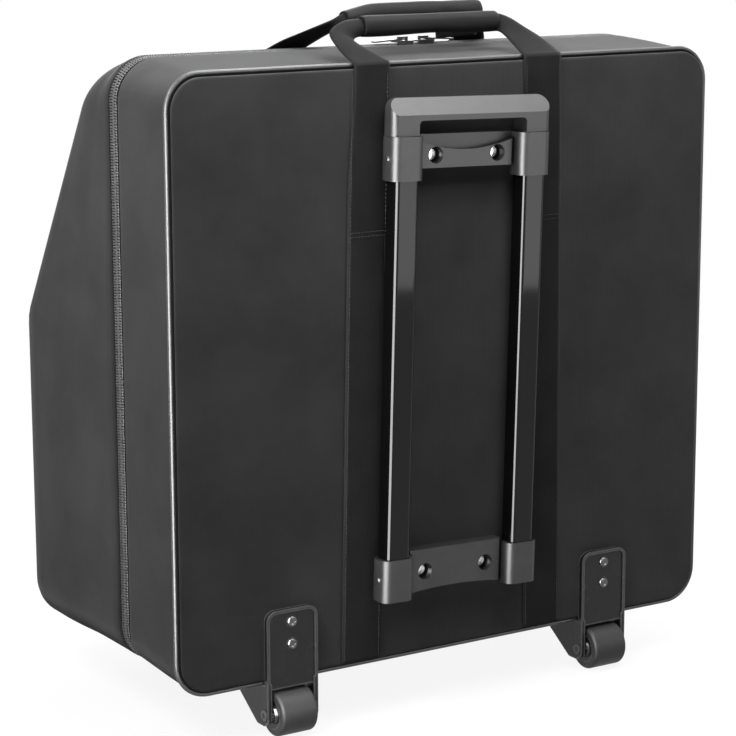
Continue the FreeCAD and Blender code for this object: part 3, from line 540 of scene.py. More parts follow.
def rear_panel():
    back_inset, back_depth = PANEL_EDGE[0]
    border = PANEL_EDGE[-1][0]
    sheets = Sheets([ring_points(inset, BACK_R, y) for inset, y in PANEL_EDGE])

    def wave(px, pz):
        plates = 1.0 if pz > WHEEL_PLATE_TOP else clear_of(px, WHEEL_MIDDLE, 30, 20)
        return cloth_wave(px, pz, border, 0.35, PANEL_WAVES) * clear_of(px, STRAP_X, 24, 20) * plates

    x, z = fill(border, BACK_R)
    sheets.add_field(x, inner_values(x, z, wave), z)
    x, z = fill(back_inset, BACK_R)
    sheets.add_field(x, np.full(x.shape, back_depth), z)
    obj = sheets.piece("back_cloth", "fabric_black", "rear_tray")
    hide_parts("back_panel")


# Tray side: (depth, inset) of its rolled edge beside the panel and of its lip at the zip
SIDE_ROLL = ((5.6, 4.2), (6.0, 2.6), (6.3, 1.4), (6.9, 0.5), (8.2, 0.1))
SIDE_LIP = ((86.4, 0.1), (87.4, 0.5), (88.0, 1.2), (88.1, 2.1), (87.8, 3.0), (87.0, 3.4), (86.6, 5.6),
            (5.8, 5.6))
SIDE_RUN = (10, 16, 24, 33, 42, 51, 60, 68, 75, 81, 84.6)
SIDE_BULGE = 0.35
SIDE_WAVE = 0.5


def rear_side():
    def side_ring(y, inset):
        return ring_points(inset, corner_radius(y), y, crown(y))

    rings = [side_ring(y, inset) for y, inset in SIDE_ROLL]
    for y in SIDE_RUN:
        bulge = SIDE_BULGE * math.sin(math.pi * (y - 8) / 80)
        wave = SIDE_WAVE * math.sin(math.pi * (y - 7) / 81)
        rings.append(undulate(side_ring(y, -bulge), wave, 70, 3))
    rings += [side_ring(y, inset) for y, inset in SIDE_LIP]
    obj = Sheets(rings, closed=True).piece("rear_side_cloth", "fabric_black", "rear_tray")
    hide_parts("rear_gusset")


# Cover side: its lip as (depth past the rim, inset), and its front edge as (depth behind the
# front, inset); it stands proud by COVER_PROUD where it meets the front
COVER_LIP = ((1.8, 3.1), (0.4, 2.9), (-0.2, 1.9), (0.2, 0.9), (1.4, 0.1), (3.2, -0.35))
COVER_EDGE = ((6.6, -2.4), (5.4, -1.9), (4.7, -0.9), (4.4, 0.6), (4.9, 2.9), (5.6, 5.6))
COVER_BULGE = 0.45
COVER_PROUD = 2.2
COVER_WAVE = 0.7
COVER_STEPS = 16


def cover_ring(share, inset, start, behind):
    """A ring between a depth near the zip and the front, at a share of the way."""
    run = front_y(ring(0, RIM_R)[1]) - behind - start
    y = start + share * run
    x, z = ring(inset, RIM_R, crown(y))
    return np.stack([x, y, z], 1)


def cover_side():
    rings = [ring_points(inset, RIM_R, RIM + past, crown(RIM + past)) for past, inset in COVER_LIP]
    start = RIM + COVER_LIP[-1][0]
    for k in range(1, COVER_STEPS):
        share = k / COVER_STEPS
        middle = math.sin(math.pi * share)
        points = undulate(cover_ring(share, 0.0, start, 7.5), COVER_WAVE * middle ** 0.6, 85, 5)
        proud = COVER_BULGE * middle ** 0.5 + COVER_PROUD * smooth_step((share - 0.35) / 0.5)
        rings.append(points + OUTWARD * proud)
    rings += [cover_ring(1.0, inset, RIM, behind) for behind, inset in COVER_EDGE]
    rings.append(ring_points(COVER_EDGE[-1][1], RIM_R, RIM + 2.0, TOP))
    obj = Sheets(rings, closed=True).piece("cover_side_cloth", "fabric_black", "front_cover")
    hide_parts("cover_gusset")


# Cover front: (inset, depth behind the front) of the cloth rolled round the board's edge
FRONT_EDGE = ((3.3, 5.2), (3.3, 3.8), (3.6, 2.5), (4.6, 1.2), (6.2, 0.4), (9.0, 0.0), (12.0, 0.0))
FRONT_WAVES = ((0.6, 110, 8), (0.2, 40, 9))


def cover_front():
    back_inset, back_depth = FRONT_EDGE[0]
    border = FRONT_EDGE[-1][0]
    sheets = Sheets([front_ring(inset, behind) for inset, behind in FRONT_EDGE])

    def wave(px, pz):
        return cloth_wave(px, pz, border, 0.4, FRONT_WAVES) * clear_of(px, STRAP_X, 22, 18)

    x, z = fill(border, RIM_R)
    sheets.add_field(x, front_y(z) - inner_values(x, z, wave), z)
    x, z = fill(back_inset, RIM_R)
    sheets.add_field(x, front_y(z, back_depth), z)
    obj = sheets.piece("cover_front_cloth", "fabric_black", "front_cover")
    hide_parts("cover_front_board")


# Linings: both have a rolled rim of these (inset, fall) points, soft walls and a soft floor
LINING_RIM = ((6.9, 1.1), (8.4, 0.2), (10.3, 0.0), (12.3, 0.4), (13.6, 1.7), (14.2, 4.2))
LINING_OUT = 6.3
LINING_IN = 14.3
LINING_WAVE = 0.7
TRAY_RIM = 97.7
COVER_RIM = 98.3
TRAY_WALL = (84, 72, 60, 48, 37, 29)
TRAY_FLOOR = ((14.6, 23), (15.8, 18.8), (18.2, 15.8), (21.8, 14.4), (26, 14.1))
COVER_FLOOR = ((14.6, 6.0), (15.8, 3.4), (18.2, 1.6), (21.8, 0.5), (26, 0.2))
COVER_WALL_STEPS = 12


def tray_lining():
    rings = [ring_points(LINING_OUT, RIM_R, 30), ring_points(LINING_OUT, RIM_R, TRAY_RIM - 3.2)]
    rings += [ring_points(inset, RIM_R, TRAY_RIM - fall) for inset, fall in LINING_RIM]
    rings += [undulate(ring_points(LINING_IN, RIM_R, y), LINING_WAVE, 60, 11) for y in TRAY_WALL]
    rings += [ring_points(inset, RIM_R, y) for inset, y in TRAY_FLOOR]
    sheets = Sheets(rings)
    floor_inset, floor_depth = TRAY_FLOOR[-1]
    x, z = fill(floor_inset, RIM_R)
    soft = inner_values(x, z, lambda px, pz: 0.6 * slow_noise(px, 0, pz, 60, 12))
    sheets.add_field(x, floor_depth + soft, z)
    x, z = fill(LINING_OUT, RIM_R)
    sheets.add_field(x, np.full(x.shape, 6.6), z)
    sheets.add_rings([ring_points(LINING_OUT, RIM_R, y) for y in (30, 6.6)])
    obj = sheets.piece("tray_lining", "foam_lining", "rear_tray")
    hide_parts("rear_lining")


def cover_inner_lining():
    wall_start = COVER_RIM + LINING_RIM[-1][1]
    rings = [ring_points(LINING_OUT, RIM_R, COVER_RIM + 3.2)]
    rings += [ring_points(inset, RIM_R, COVER_RIM + fall) for inset, fall in LINING_RIM]
    x, z = ring(LINING_IN, RIM_R)
    wall_end = front_y(z, 14.0) - 9.0
    for k in range(1, COVER_WALL_STEPS + 1):
        share = k / COVER_WALL_STEPS
        points = np.stack([x, wall_start + share * (wall_end - wall_start), z], 1)
        rings.append(undulate(points, LINING_WAVE * math.sin(math.pi * share), 60, 13))
    rings += [front_ring(inset, 14.0, gap) for inset, gap in COVER_FLOOR]
    sheets = Sheets(rings)
    x, z = fill(COVER_FLOOR[-1][0], RIM_R)
    soft = inner_values(x, z, lambda px, pz: 0.3 + 0.6 * slow_noise(px, 0, pz, 60, 14))
    sheets.add_field(x, front_y(z, 14.2) - soft, z)
    sheets.add_rings([ring_points(LINING_OUT, RIM_R, COVER_RIM + 3.2), front_ring(LINING_OUT, 6.6)])
    x, z = fill(LINING_OUT, RIM_R)
    sheets.add_field(x, front_y(z, 6.6), z)
    obj = sheets.piece("cover_inner_lining", "foam_lining", "front_cover")
    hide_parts("cover_lining")


# Piping, and a near-black band in the groove between the back panel's cloth and its piping: painted shade
SEAM_SECTION = ((0.2, 3.3), (1.2, 3.0), (2.2, 2.7), (3.0, 2.9), (3.0, 4.9), (1.6, 5.2), (1.5, 4.4))
CORD_SIDES = 12


def closed_cord(path, radius):
    """A round cord along a closed path, with rings square to it."""
    turn = full_turn(CORD_SIDES)
    rows = []
    for i, middle in enumerate(path):
        run = path[(i + 1) % len(path)] - path[i - 1]
        run /= np.linalg.norm(run)
        side = np.cross(run, (0.0, 1.0, 0.0))
        side /= np.linalg.norm(side)
        up = np.cross(side, run)
        rows.append(middle + radius * (np.outer(np.cos(turn), side) + np.outer(np.sin(turn), up)))
    return np.concatenate(rows), sheet_faces(len(path), CORD_SIDES, close_rows=True, close_cols=True)


# A near-black band laid in the groove beside the piping, as painted shade.
def seam_gap():
    rings = [ring_points(inset, BACK_R, y) for inset, y in SEAM_SECTION]
    Sheets(rings, closed=True).piece("rear_seam_painted_shade", "fabric_black", "rear_tray", MAT["seam_painted_shade"])


def pipings():
    cord = closed_cord(ring_points(-0.5, BACK_R, 4.4), 1.9)
    obj = piece("rear_piping_cord", *cord, "piping_black", "rear_tray")
    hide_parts("rear_piping")
    cord = closed_cord(front_ring(0.9, 2.6), 1.95)
    obj = piece("cover_piping_cord", *cord, "piping_black", "front_cover")
    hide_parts("cover_piping")


# Zip: it leaves out the bottom. The tapes are sections of (depth, inset). A tooth is a half
# section of (height, width) shares, lofted through stations of (distance from the zip's
# middle, height, width).
OPEN_RING = np.append(np.arange(N_FLAT, N_RING), 0)
# The tapes reach in under the cloths' lips; there their near-black colour stands in as a painted shadow line
# beside the coil.
REAR_TAPE = ((87.4, 2.6), (89.0, 1.9), (93.0, 1.8), (97.8, 1.8), (97.8, 2.5), (93.0, 2.6), (89.0, 2.7),
             (87.4, 3.4))
COVER_TAPE = ((107.2, 3.5), (104.5, 2.2), (98.2, 1.9), (98.2, 2.5), (104.5, 2.8), (107.2, 4.1))
TOOTH_PITCH = 2.3
TOOTH_INSET = 1.6
TOOTH_SUNK = 0.3
ZIP_END = 12.0
TOOTH_SECTION = ((0.0, -0.95), (0.5, -0.9), (0.95, -0.35), (1.0, 0.0), (0.95, 0.35), (0.5, 0.9), (0.0, 0.95))
TOOTH_STATIONS = ((-5.8, 0.4, 0.8), (-5.5, 0.9, 1.12), (-4.2, 1.0, 1.15), (-3.7, 1.9, 0.85), (-2.9, 2.0, 0.8),
                  (-2.3, 1.0, 1.1), (-0.2, 0.95, 1.1), (0.7, 0.85, 1.0), (1.0, 0.5, 0.7))


def zip_band(name, section, body, cad):
    """A tape round the case without the straight run of the bottom."""
    rows = []
    for y, inset in section:
        rows.append(ring_points(inset, RIM_R, y, crown(np.clip(y, REAR, RIM)))[OPEN_RING])
    n = len(OPEN_RING)
    faces = sheet_faces(len(rows), n, close_rows=True)
    faces.append([k * n for k in range(len(rows))])
    faces.append([k * n + n - 1 for k in range(len(rows))][::-1])
    obj = piece(name, np.concatenate(rows), faces, "zip_tape", body)
    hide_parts(*cad)


def tooth_places():
    """Evenly spaced places along the zip, with their outward directions and those along it."""
    points = ring_points(TOOTH_INSET, RIM_R, ZIP, crown(ZIP))[OPEN_RING]
    normals = OUTWARD[OPEN_RING]
    gaps = np.linalg.norm(np.diff(points, axis=0), axis=1)
    distance = np.concatenate([[0], np.cumsum(gaps)])
    count = int((distance[-1] - 2 * ZIP_END) / TOOTH_PITCH)
    at = ZIP_END + TOOTH_PITCH * np.arange(count)
    place = np.stack([np.interp(at, distance, points[:, k]) for k in range(3)], 1)
    out = np.stack([np.interp(at, distance, normals[:, k]) for k in range(3)], 1)
    out /= np.linalg.norm(out, axis=1)[:, None]
    return place, out, np.cross(out, (0.0, -1.0, 0.0))


def teeth(name, side, phase, body, cad):
    """The nylon coil: one rounded loop a pitch, its head just over the middle."""
    place, out, along = tooth_places()
    place = place + along * phase * TOOTH_PITCH
    verts, faces = [], []
    for middle, up, across in zip(place, out, along):
        start = len(verts)
        for y, height, width in TOOTH_STATIONS:
            for h, w in TOOTH_SECTION:
                offset = np.array([0.0, side * y, 0.0]) + up * (h * height - TOOTH_SUNK)
                verts.append(middle + offset + across * (w * width))
        faces += capped_tube(len(TOOTH_STATIONS), len(TOOTH_SECTION), start, (1, 1))
    obj = piece(name, verts, faces, "zip_coil", body, merge=False)
    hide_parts(*cad)


def zips():
    zip_band("rear_zip_cloth", REAR_TAPE, "rear_tray", ["rear_zip_tape"])
    zip_band("cover_zip_cloth", COVER_TAPE, "front_cover", ["cover_zip_tape"])
    teeth("rear_zip_teeth", 1, 0.0, "rear_tray", ["rear_zip_coil"])
    teeth("cover_zip_teeth", -1, 0.5, "front_cover", ["cover_zip_coil"])


# Webbing
WEB_THICK = 2.0
WEB_LIFT = 1.15
SPAN_STEPS = 5
LOW_Z = 50.2
PIPING_DEPTH = 2.4
HOOK = 3.55
BAR_Z = TOP - 0.6
# The left strap is folded in at its outer edge towards the top
FOLD = 4.5
FOLD_FROM = 440.0
FOLD_RUN = 95.0
# The back's straps lean: the middle's x at the bottom and at the top, and the side
BACK_STRAPS = (("left", -94.5, -84.0, -1), ("right", 91.0, 86.5, 1))


def smooth_path(rows, per_span):
    """Catmull-Rom through rows of points; returns the rows in between as well."""
    rows = np.asarray(rows, float)
    ext = np.concatenate([[2 * rows[0] - rows[1]], rows, [2 * rows[-1] - rows[-2]]])
    out = []
    for i in range(1, len(ext) - 2):
        a, b, c, d = ext[i - 1:i + 3]
        for k in range(per_span):
            t = k / per_span
            bend = (2 * a - 5 * b + 4 * c - d) * t * t + (3 * b - a - 3 * c + d) * t ** 3
            out.append(0.5 * (2 * b + (c - a) * t + bend))
    out.append(rows[-1])
    return np.array(out)


def web_points(rows, per_span, across):
    """A grid over rows of (outer, middle, inner) points."""
    path = smooth_path(rows, per_span)
    u = np.linspace(0, 1, across)[None, :, None]
    outer, middle, inner = (path[:, k][:, None] for k in range(3))
    return outer * (2 * (u - 0.5) * (u - 1)) + middle * (-4 * u * (u - 1)) + inner * (2 * u * (u - 0.5))


def grid_normals(grid):
    across = np.gradient(grid, axis=1)
    along = np.gradient(grid, axis=0)
    normals = np.cross(along, across)
    return normals / np.maximum(np.linalg.norm(normals, axis=2), 1e-9)[:, :, None]


def web(name, rows, thickness, slot, body=None, sign=1.0, material=None, per_span=SPAN_STEPS, cols=13):
    """Webbing with rounded edges along rows of middle points, with its own weave directions."""
    grid = web_points(rows, per_span, cols)
    edge = np.minimum(np.arange(cols), np.arange(cols)[::-1])
    half = thickness / 2 * np.interp(edge, [0, 1, 2], [0.45, 0.92, 1.0])[None, :, None]
    offset = grid_normals(grid) * sign * half
    loop = np.concatenate([grid + offset, (grid - offset)[:, ::-1]], axis=1)
    around = loop.shape[1]
    faces = capped_tube(len(grid), around, ways=(1, -1))
    obj = piece(name, loop.reshape(-1, 3), faces, slot, body, material, merge=False)
    steps = np.linalg.norm(np.diff(grid[:, cols // 2], axis=0), axis=1)
    length = np.concatenate([[0], np.cumsum(steps)])
    width = np.linspace(0, STRAP, cols)
    u_of = np.concatenate([width, width[::-1]])
    layer = obj.data.uv_layers.new(name="weave")
    for loop_index, corner in enumerate(obj.data.loops):
        i, j = divmod(corner.vertex_index, around)
        layer.data[loop_index].uv = (u_of[j] / 10.0, length[i] / 10.0)
    return obj


def row3(outer, inner, bow=(0.0, 0.0, 0.0)):
    """One row across a web: its two edges and its middle, bowed out of the straight."""
    outer = np.array(outer, float)
    inner = np.array(inner, float)
    return [outer, (outer + inner) / 2 + np.array(bow), inner]


def level_row(x, side, y, z, outer=STRAP_HALF):
    return row3((x + side * outer, y, z), (x - side * STRAP_HALF, y, z))


def strap_x(low_x, high_x, z):
    """Middle of a leaning strap at a height."""
    return low_x + (high_x - low_x) * (z - 50) / 495


def over_piping(x, side, centre_y, angles, outer=STRAP_HALF):
    """Rows that turn over the top piping, by degrees from level towards the front."""
    rows = []
    for angle in angles:
        a = math.radians(angle)
        rows.append(level_row(x, side, centre_y + HOOK * math.cos(a), BAR_Z + HOOK * math.sin(a), outer))
    return rows


# Legs of the carry handles, as rows of outer edge, inner edge and bow: near ones, then far ones
NEAR_LEFT = (
    ((-101.5, 10, 553.5), (-68, 9.5, 551), (0, -0.5, 0.8)),
    ((-104, 20, 562), (-75, 17, 556), (0, -1.0, 1.0)),
    ((-102.5, 30, 569.5), (-80, 24, 560.5), (0, -2.0, 0.5)),
    ((-93, 36.5, 575), (-80, 29.5, 563), (-2.0, -3.0, -0.5)),
    ((-80, 40, 578.6), (-74, 35, 565), (-1, -4.0, 0)),
    ((-66, 42, 579), (-64, 39, 566), (0, -4.5, 0)),
    ((-57, 42, 577.5), (-57, 39, 567.5), (0, -4.0, 0)),
)
NEAR_RIGHT = (
    ((104, 9.5, 552.5), (67, 9.5, 552.5), (0, -0.4, 0.6)),
    ((97, 17.5, 560), (66, 18, 558.5), (0, -0.8, 1.2)),
    ((86, 26, 568.5), (65.8, 26, 562.5), (0, -1.5, 1.5)),
    ((77, 33, 575.5), (66.5, 33, 564.5), (0, -3.0, 1.2)),
    ((68, 39, 579.3), (64.8, 37.5, 565.2), (0, -4.0, 0)),
    ((57, 42, 578), (57, 39, 567), (0, -4.0, 0)),
)
FAR_LEFT = (
    ((-110, 117, 552.5), (-73, 117, 552.5), (0, 0, 0.5)),
    ((-103, 103, 560), (-71, 102, 559), (0, 0, 0.8)),
    ((-92, 87, 567.5), (-70, 86, 565), (0, 0, 1.5)),
    ((-79, 74, 575), (-69, 73, 569), (0, 0, 1.8)),
    ((-66, 67, 583), (-64, 64, 573), (0, -1.5, 0)),
    ((-57, 67, 585), (-57, 64, 575), (0, -2, 0)),
)
FAR_RIGHT = (
    ((109, 117, 552.5), (72, 117, 552.5), (0, 0, 0.5)),
    ((99, 103, 560), (69, 102, 559), (0, 0, 0.8)),
    ((87, 87, 567.5), (67, 86, 566), (0, 0, 1.5)),
    ((76, 75, 575.5), (65, 74, 571), (0, 0, 1.8)),
    ((67, 68, 583.5), (63, 65, 573.5), (0, -1.5, 0)),
    ((57, 67, 585), (57, 64, 575), (0, -2, 0)),
)


def rear_strap_rows(low_x, high_x, side):
    """From the bottom piping up the back panel and over the top piping."""
    fold = FOLD if side < 0 else 0.0
    rows = []
    for z in np.linspace(LOW_Z, 541.5, 40):
        x = strap_x(low_x, high_x, z)
        y = 0.25 * slow_noise(x, 0, z, 60, 21 + side) - WEB_LIFT
        outer = STRAP_HALF - fold * float(smooth_step((z - FOLD_FROM) / FOLD_RUN))
        rows.append(level_row(x, side, y, z, outer))
    return rows + over_piping(high_x, side, PIPING_DEPTH, (175, 155, 130, 108, 90), STRAP_HALF - fold)


def rear_webs():
    """Two straps on the back whose ends are the legs of the near carry handle."""
    for (name, low_x, high_x, side), legs in zip(BACK_STRAPS, (NEAR_LEFT, NEAR_RIGHT)):
        rows = rear_strap_rows(low_x, high_x, side) + [row3(*leg) for leg in legs]
        obj = web("rear_web_" + name, rows, WEB_THICK, "webbing_black", sign=side, material=MAT["web"])
        put([(0, 0.5, 543.0)])[0]
        put([(0, 9, 552)])[0]
        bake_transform(obj)
        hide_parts("rear_strap_" + name, "rear_handle_webbing")


def cover_webs():
    """Two straps over the sloping front whose ends are the legs of the far carry handle."""
    upright = np.linspace(LOW_Z, 300, 16)
    kink = np.linspace(308, 340, 6)
    slope = np.linspace(352, 538, 14)
    centre_y = float(front_y(np.array(BAR_Z), PIPING_DEPTH))
    for name, side, legs in (("left", -1, FAR_LEFT), ("right", 1, FAR_RIGHT)):
        x = side * STRAP_X
        rows = [level_row(x, side, float(front_y(np.array(z), -WEB_LIFT)), z)
                for z in np.concatenate([upright, kink, slope])]
        rows += over_piping(x, side, centre_y, (30, 52, 74, 90))
        rows += [row3(*leg) for leg in legs]
        obj = web("cover_web_" + name, rows, WEB_THICK, "webbing_black", sign=side, material=MAT["web"])
        put([(0, centre_y - 0.5, 543.5)])[0]
        put([(0, centre_y - 10, 552.5)])[0]
        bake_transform(obj)
        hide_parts("cover_strap_" + name, "cover_handle_webbing")


# Sleeves of the carry handles. Each end is rolled in: (distance inside the end, share of the section)
SLEEVE_END = ((14.0, 0.66), (8.0, 0.68), (3.0, 0.70), (0.3, 0.74), (-0.9, 0.84), (-0.7, 0.93))
SLEEVE_STEPS = 45
SLEEVE_SIDES = 40
NEAR_MIDDLE = (40.4, 573.2)
FAR_MIDDLE = (66.2, 580.2)
FLAP_ROWS = (
    ((19, 62, 579), (64, 62, 579)),
    ((19.5, 60.5, 572), (64, 60.5, 572)),
    ((20, 60, 566), (63.5, 61, 566)),
    ((21, 61, 559.5), (62.5, 62.5, 560.5)),
)


def sleeve(name, middle, half, section, swell, body, cad):
    """A padded sleeve: rings of a soft section along X, rolled into its open ends."""
    turn = full_turn(SLEEVE_SIDES)
    stations = [(-half + inside, share) for inside, share in SLEEVE_END]
    for x in np.linspace(-half, half, SLEEVE_STEPS):
        stations.append((x, min(1.0, 0.97 + 0.03 * smooth_step((half - abs(x)) / 8.0))))
    stations += [(half - inside, share) for inside, share in SLEEVE_END[::-1]]
    points = []
    for x, share in stations:
        deep, tall, forward, raised = section(x)
        crease = np.array([slow_noise(x, 30 * math.cos(a), 30 * math.sin(a), 24, 31) for a in turn])
        full = share * (1.0 + swell * crease)
        y = middle[0] + forward + deep * full * np.cos(turn)
        z = middle[1] + raised + tall * full * np.sin(turn)
        points.append(np.stack([np.full(SLEEVE_SIDES, x), y, z], 1))
    faces = capped_tube(len(stations), SLEEVE_SIDES)
    obj = piece(name, np.concatenate(points), faces, "handle_fabric", body)
    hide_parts(cad)


def near_section(x):
    """Half depth, half height and offsets of the near sleeve, a little thinner where it is held."""
    waist = 0.8 * math.exp(-(x / 30.0) ** 2)
    return 8.6 - waist, 8.9 - waist, 0.0, 0.6 * waist


def far_section(x):
    """The far wrap is flatter and lower towards its left end."""
    full = 1 - smooth_step((-x - 35) / 40.0)
    return 9.0, 6.3 + 3.3 * full, 0.0, -2.4 + 2.8 * full


def handles():
    sleeve("near_sleeve", NEAR_MIDDLE, 65.5, near_section, 0.025, "rear_handle", "rear_handle_sleeve")
    sleeve("far_wrap", FAR_MIDDLE, 66.0, far_section, 0.05, "cover_handle", "cover_handle_wrap")
    rows = [row3(outer, inner) for outer, inner in FLAP_ROWS]
    obj = web("wrap_flap", rows, 2.4, "handle_fabric", "cover_handle")
    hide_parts("cover_handle_wrap")


# Fabric hinge: (depth, height) across it, and how far it reaches to either side
HINGE_SECTION = ((87.5, 47.6), (90.5, 47.3), (94, 47.1), (98, 47.0), (102, 47.1), (105.5, 47.3),
                 (108.5, 47.6))
HINGE_HALF = 228.5


def hinge():
    rows = [[(-HINGE_HALF, y, z), (0, y, z), (HINGE_HALF, y, z)] for y, z in HINGE_SECTION]
    obj = web("hinge_cloth", rows, 1.2, "fabric_black", per_span=4, cols=41)
    put([(0, 94, LOW)])[0]
    put([(0, 102, LOW)])[0]
    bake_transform(obj)
    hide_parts("rear_hinge_tape", "cover_hinge_tape")


# Stitches: small capsules, as (share of their length, share of their radius)
STITCH_STATIONS = ((-0.5, 0.3), (-0.38, 0.9), (0.0, 1.0), (0.38, 0.9), (0.5, 0.3))
STITCH_SIDES = 6
STITCH_LENGTH = 2.3
STITCH_RADIUS = 0.32
STITCH_RISE = 0.12
STITCH_DEPTH = -2.15
SEAM_OFF = 16.6
CROSS_LEVELS = (408.0, 411.5)


def stitches(name, places, along):
    """A row of thread ends on the back's straps: one small capsule each."""
    out = np.array((0.0, -1.0, 0.0))
    verts, faces = [], []
    for middle, run in zip(places, along):
        run = np.array(run, float)
        side = np.cross(run, out)
        start = len(verts)
        for share, round_share in STITCH_STATIONS:
            radius = round_share * STITCH_RADIUS
            lift = STITCH_RISE * (1 - (2 * share) ** 2)
            for t in full_turn(STITCH_SIDES):
                offset = side * math.cos(t) * radius + out * (math.sin(t) * radius + lift)
                verts.append(middle + run * share * STITCH_LENGTH + offset)
        faces += capped_tube(len(STITCH_STATIONS), STITCH_SIDES, start)
    piece(name, verts, faces, "webbing_black", "rear_tray", MAT["thread"], merge=False)


def strap_seams():
    """Two seams along each back strap and a double one across it."""
    for name, low_x, high_x, _ in BACK_STRAPS:
        places, along = [], []
        for z in np.arange(54, 538, 3.4):
            for off in (-SEAM_OFF, SEAM_OFF):
                places.append((strap_x(low_x, high_x, z) + off, STITCH_DEPTH, z))
                along.append((0, 0, 1))
        for level in CROSS_LEVELS:
            for x in np.arange(-15, 15.1, 3.3):
                places.append((strap_x(low_x, high_x, level) + x, STITCH_DEPTH, level))
                along.append((1, 0, 0))
        stitches("rear_web_seams_" + name, places, along)


# Rivet heads of the wheel brackets: a profile of (share of the radius, share of the height)
# with a rolled rim, a flat ring and a shallow dimple
RIVET_PROFILE = ((1.0, -0.3), (1.0, 0.25), (0.97, 0.55), (0.88, 0.82), (0.72, 0.97), (0.55, 1.0),
                 (0.45, 0.82), (0.25, 0.74), (0.0, 0.72))
RIVET_SIDES = 28
RIVET_RADIUS = 4.7
RIVET_HEIGHT = 2.2
RIVET_SEAT = 2.0
RIVET_Z = (78.0, 97.0)


def rivets():
    """Turned heads on the wheel brackets, facing back."""
    low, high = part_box("wheel_rivets")
    seat_y = low[1] * 1000 - STEP + RIVET_SEAT
    axis = Vector((0, -1, 0))
    side = axis.orthogonal().normalized()
    other = axis.cross(side)
    tip = (len(RIVET_PROFILE) - 1) * RIVET_SIDES
    last = tip - RIVET_SIDES
    head = sheet_faces(len(RIVET_PROFILE) - 1, RIVET_SIDES, close_cols=True)
    head += [[last + k, last + (k + 1) % RIVET_SIDES, tip] for k in range(RIVET_SIDES)]
    head.append(list(range(RIVET_SIDES))[::-1])
    verts, faces = [], []
    for x in WHEEL_X:
        for z in RIVET_Z:
            centre = Vector((x, seat_y, z))
            faces += [[i + len(verts) for i in face] for face in head]
            for r, h in RIVET_PROFILE[:-1]:
                for t in full_turn(RIVET_SIDES):
                    spoke = side * math.cos(t) + other * math.sin(t)
                    verts.append(centre + spoke * (r * RIVET_RADIUS) + axis * (h * RIVET_HEIGHT))
            verts.append(centre + axis * (RIVET_PROFILE[-1][1] * RIVET_HEIGHT))
    obj = piece("wheel_rivet_heads", verts, faces, "chrome_fastener", "rear_tray", MAT["rivet_metal"],
                merge=False)
    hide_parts("wheel_rivets")


# Trolley grip, in metres: how far the slope along its front's top falls and runs
GRIP_FALL = 0.0135
GRIP_RUN = 0.0095
GRIP_ROUND = 0.0006


def grip():
    """The grip with the broad slope that its bar and legs have along the front's top."""
    source = frame["nodes"]["trolley_grip"]
    bm = bmesh.new()
    bm.from_mesh(source.data)
    bm.transform(source.matrix_world)
    bmesh.ops.remove_doubles(bm, verts=bm.verts, dist=1e-6)
    up = Vector((math.sin(LEAN), 0, math.cos(LEAN)))
    top = max(v.co.dot(up) for v in bm.verts)
    front = min(v.co.y for v in bm.verts)
    normal = (up * GRIP_RUN - Vector((0, 1, 0)) * GRIP_FALL).normalized()
    on_plane = Vector((0, front, 0)) + up * (top - GRIP_FALL)
    geometry = bm.verts[:] + bm.edges[:] + bm.faces[:]
    cut = bmesh.ops.bisect_plane(bm, geom=geometry, plane_co=on_plane, plane_no=normal, clear_outer=True)
    rim = [e for e in cut["geom_cut"] if isinstance(e, bmesh.types.BMEdge)]
    bmesh.ops.triangle_fill(bm, edges=rim, use_beauty=True)
    sharp = [e for e in bm.edges if len(e.link_faces) == 2 and e.calc_face_angle() > math.radians(28)]
    bmesh.ops.bevel(bm, geom=sharp, offset=GRIP_ROUND, segments=2, profile=0.5, affect="EDGES",
                    clamp_overlap=True)
    bmesh.ops.recalc_face_normals(bm, faces=bm.faces)
    mesh = bpy.data.meshes.new("grip_shell")
    bm.to_mesh(mesh)
    bm.free()
    mesh.polygons.foreach_set("use_smooth", [True] * len(mesh.polygons))
    mesh.set_sharp_from_angle(angle=math.radians(32))
    mesh.materials.append(MAT["bracket_plastic"])
    obj = place_object("grip_shell", mesh)
    even = obj.modifiers.new("even_shading", "WEIGHTED_NORMAL")
    even.keep_sharp = True
    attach(obj, "trolley_handle")
    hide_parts("trolley_grip")


# Edge roundings in millimetres; a solid takes the first whose word is in its name
EDGE_WIDTHS = {
    "wheel_bracket": 1.0,
    "bracket": 0.5,
    "plate": 0.3,
    "tube": 0.2,
    "foot": 0.6,
    "slider": 0.25,
    "pull": 0.25,
    "washer": 0.2,
    "tyre": 0.5,
    "core": 0.3,
}


def round_edges():
    """Small rounded edges on the moulded and metal solids, so that they catch the light."""
    for name, obj in frame["nodes"].items():
        width = next((width for word, width in EDGE_WIDTHS.items() if word in name), None)
        if width is None:
            continue
        rounding = obj.modifiers.new("edge_rounding", "BEVEL")
        rounding.width = width / 1000.0
        rounding.segments = 2
        rounding.limit_method = "ANGLE"
        rounding.angle_limit = math.radians(40)


rear_panel()
rear_side()
cover_side()
cover_front()
tray_lining()
cover_inner_lining()
seam_gap()
pipings()
zips()
rear_webs()
cover_webs()
handles()
hinge()
strap_seams()
rivets()
grip()
round_edges()

# Camera, fitted to the straight edges that the photograph shows
CAMERA_PLACE = (-1113.81, -1634.74, 695.86)
CAMERA_AHEAD = (0.521437, 0.829192, -0.201359)
CAMERA_ROLL = math.radians(-0.18)
CAMERA_SENSOR = 36.0
CAMERA_LENS = 117.902


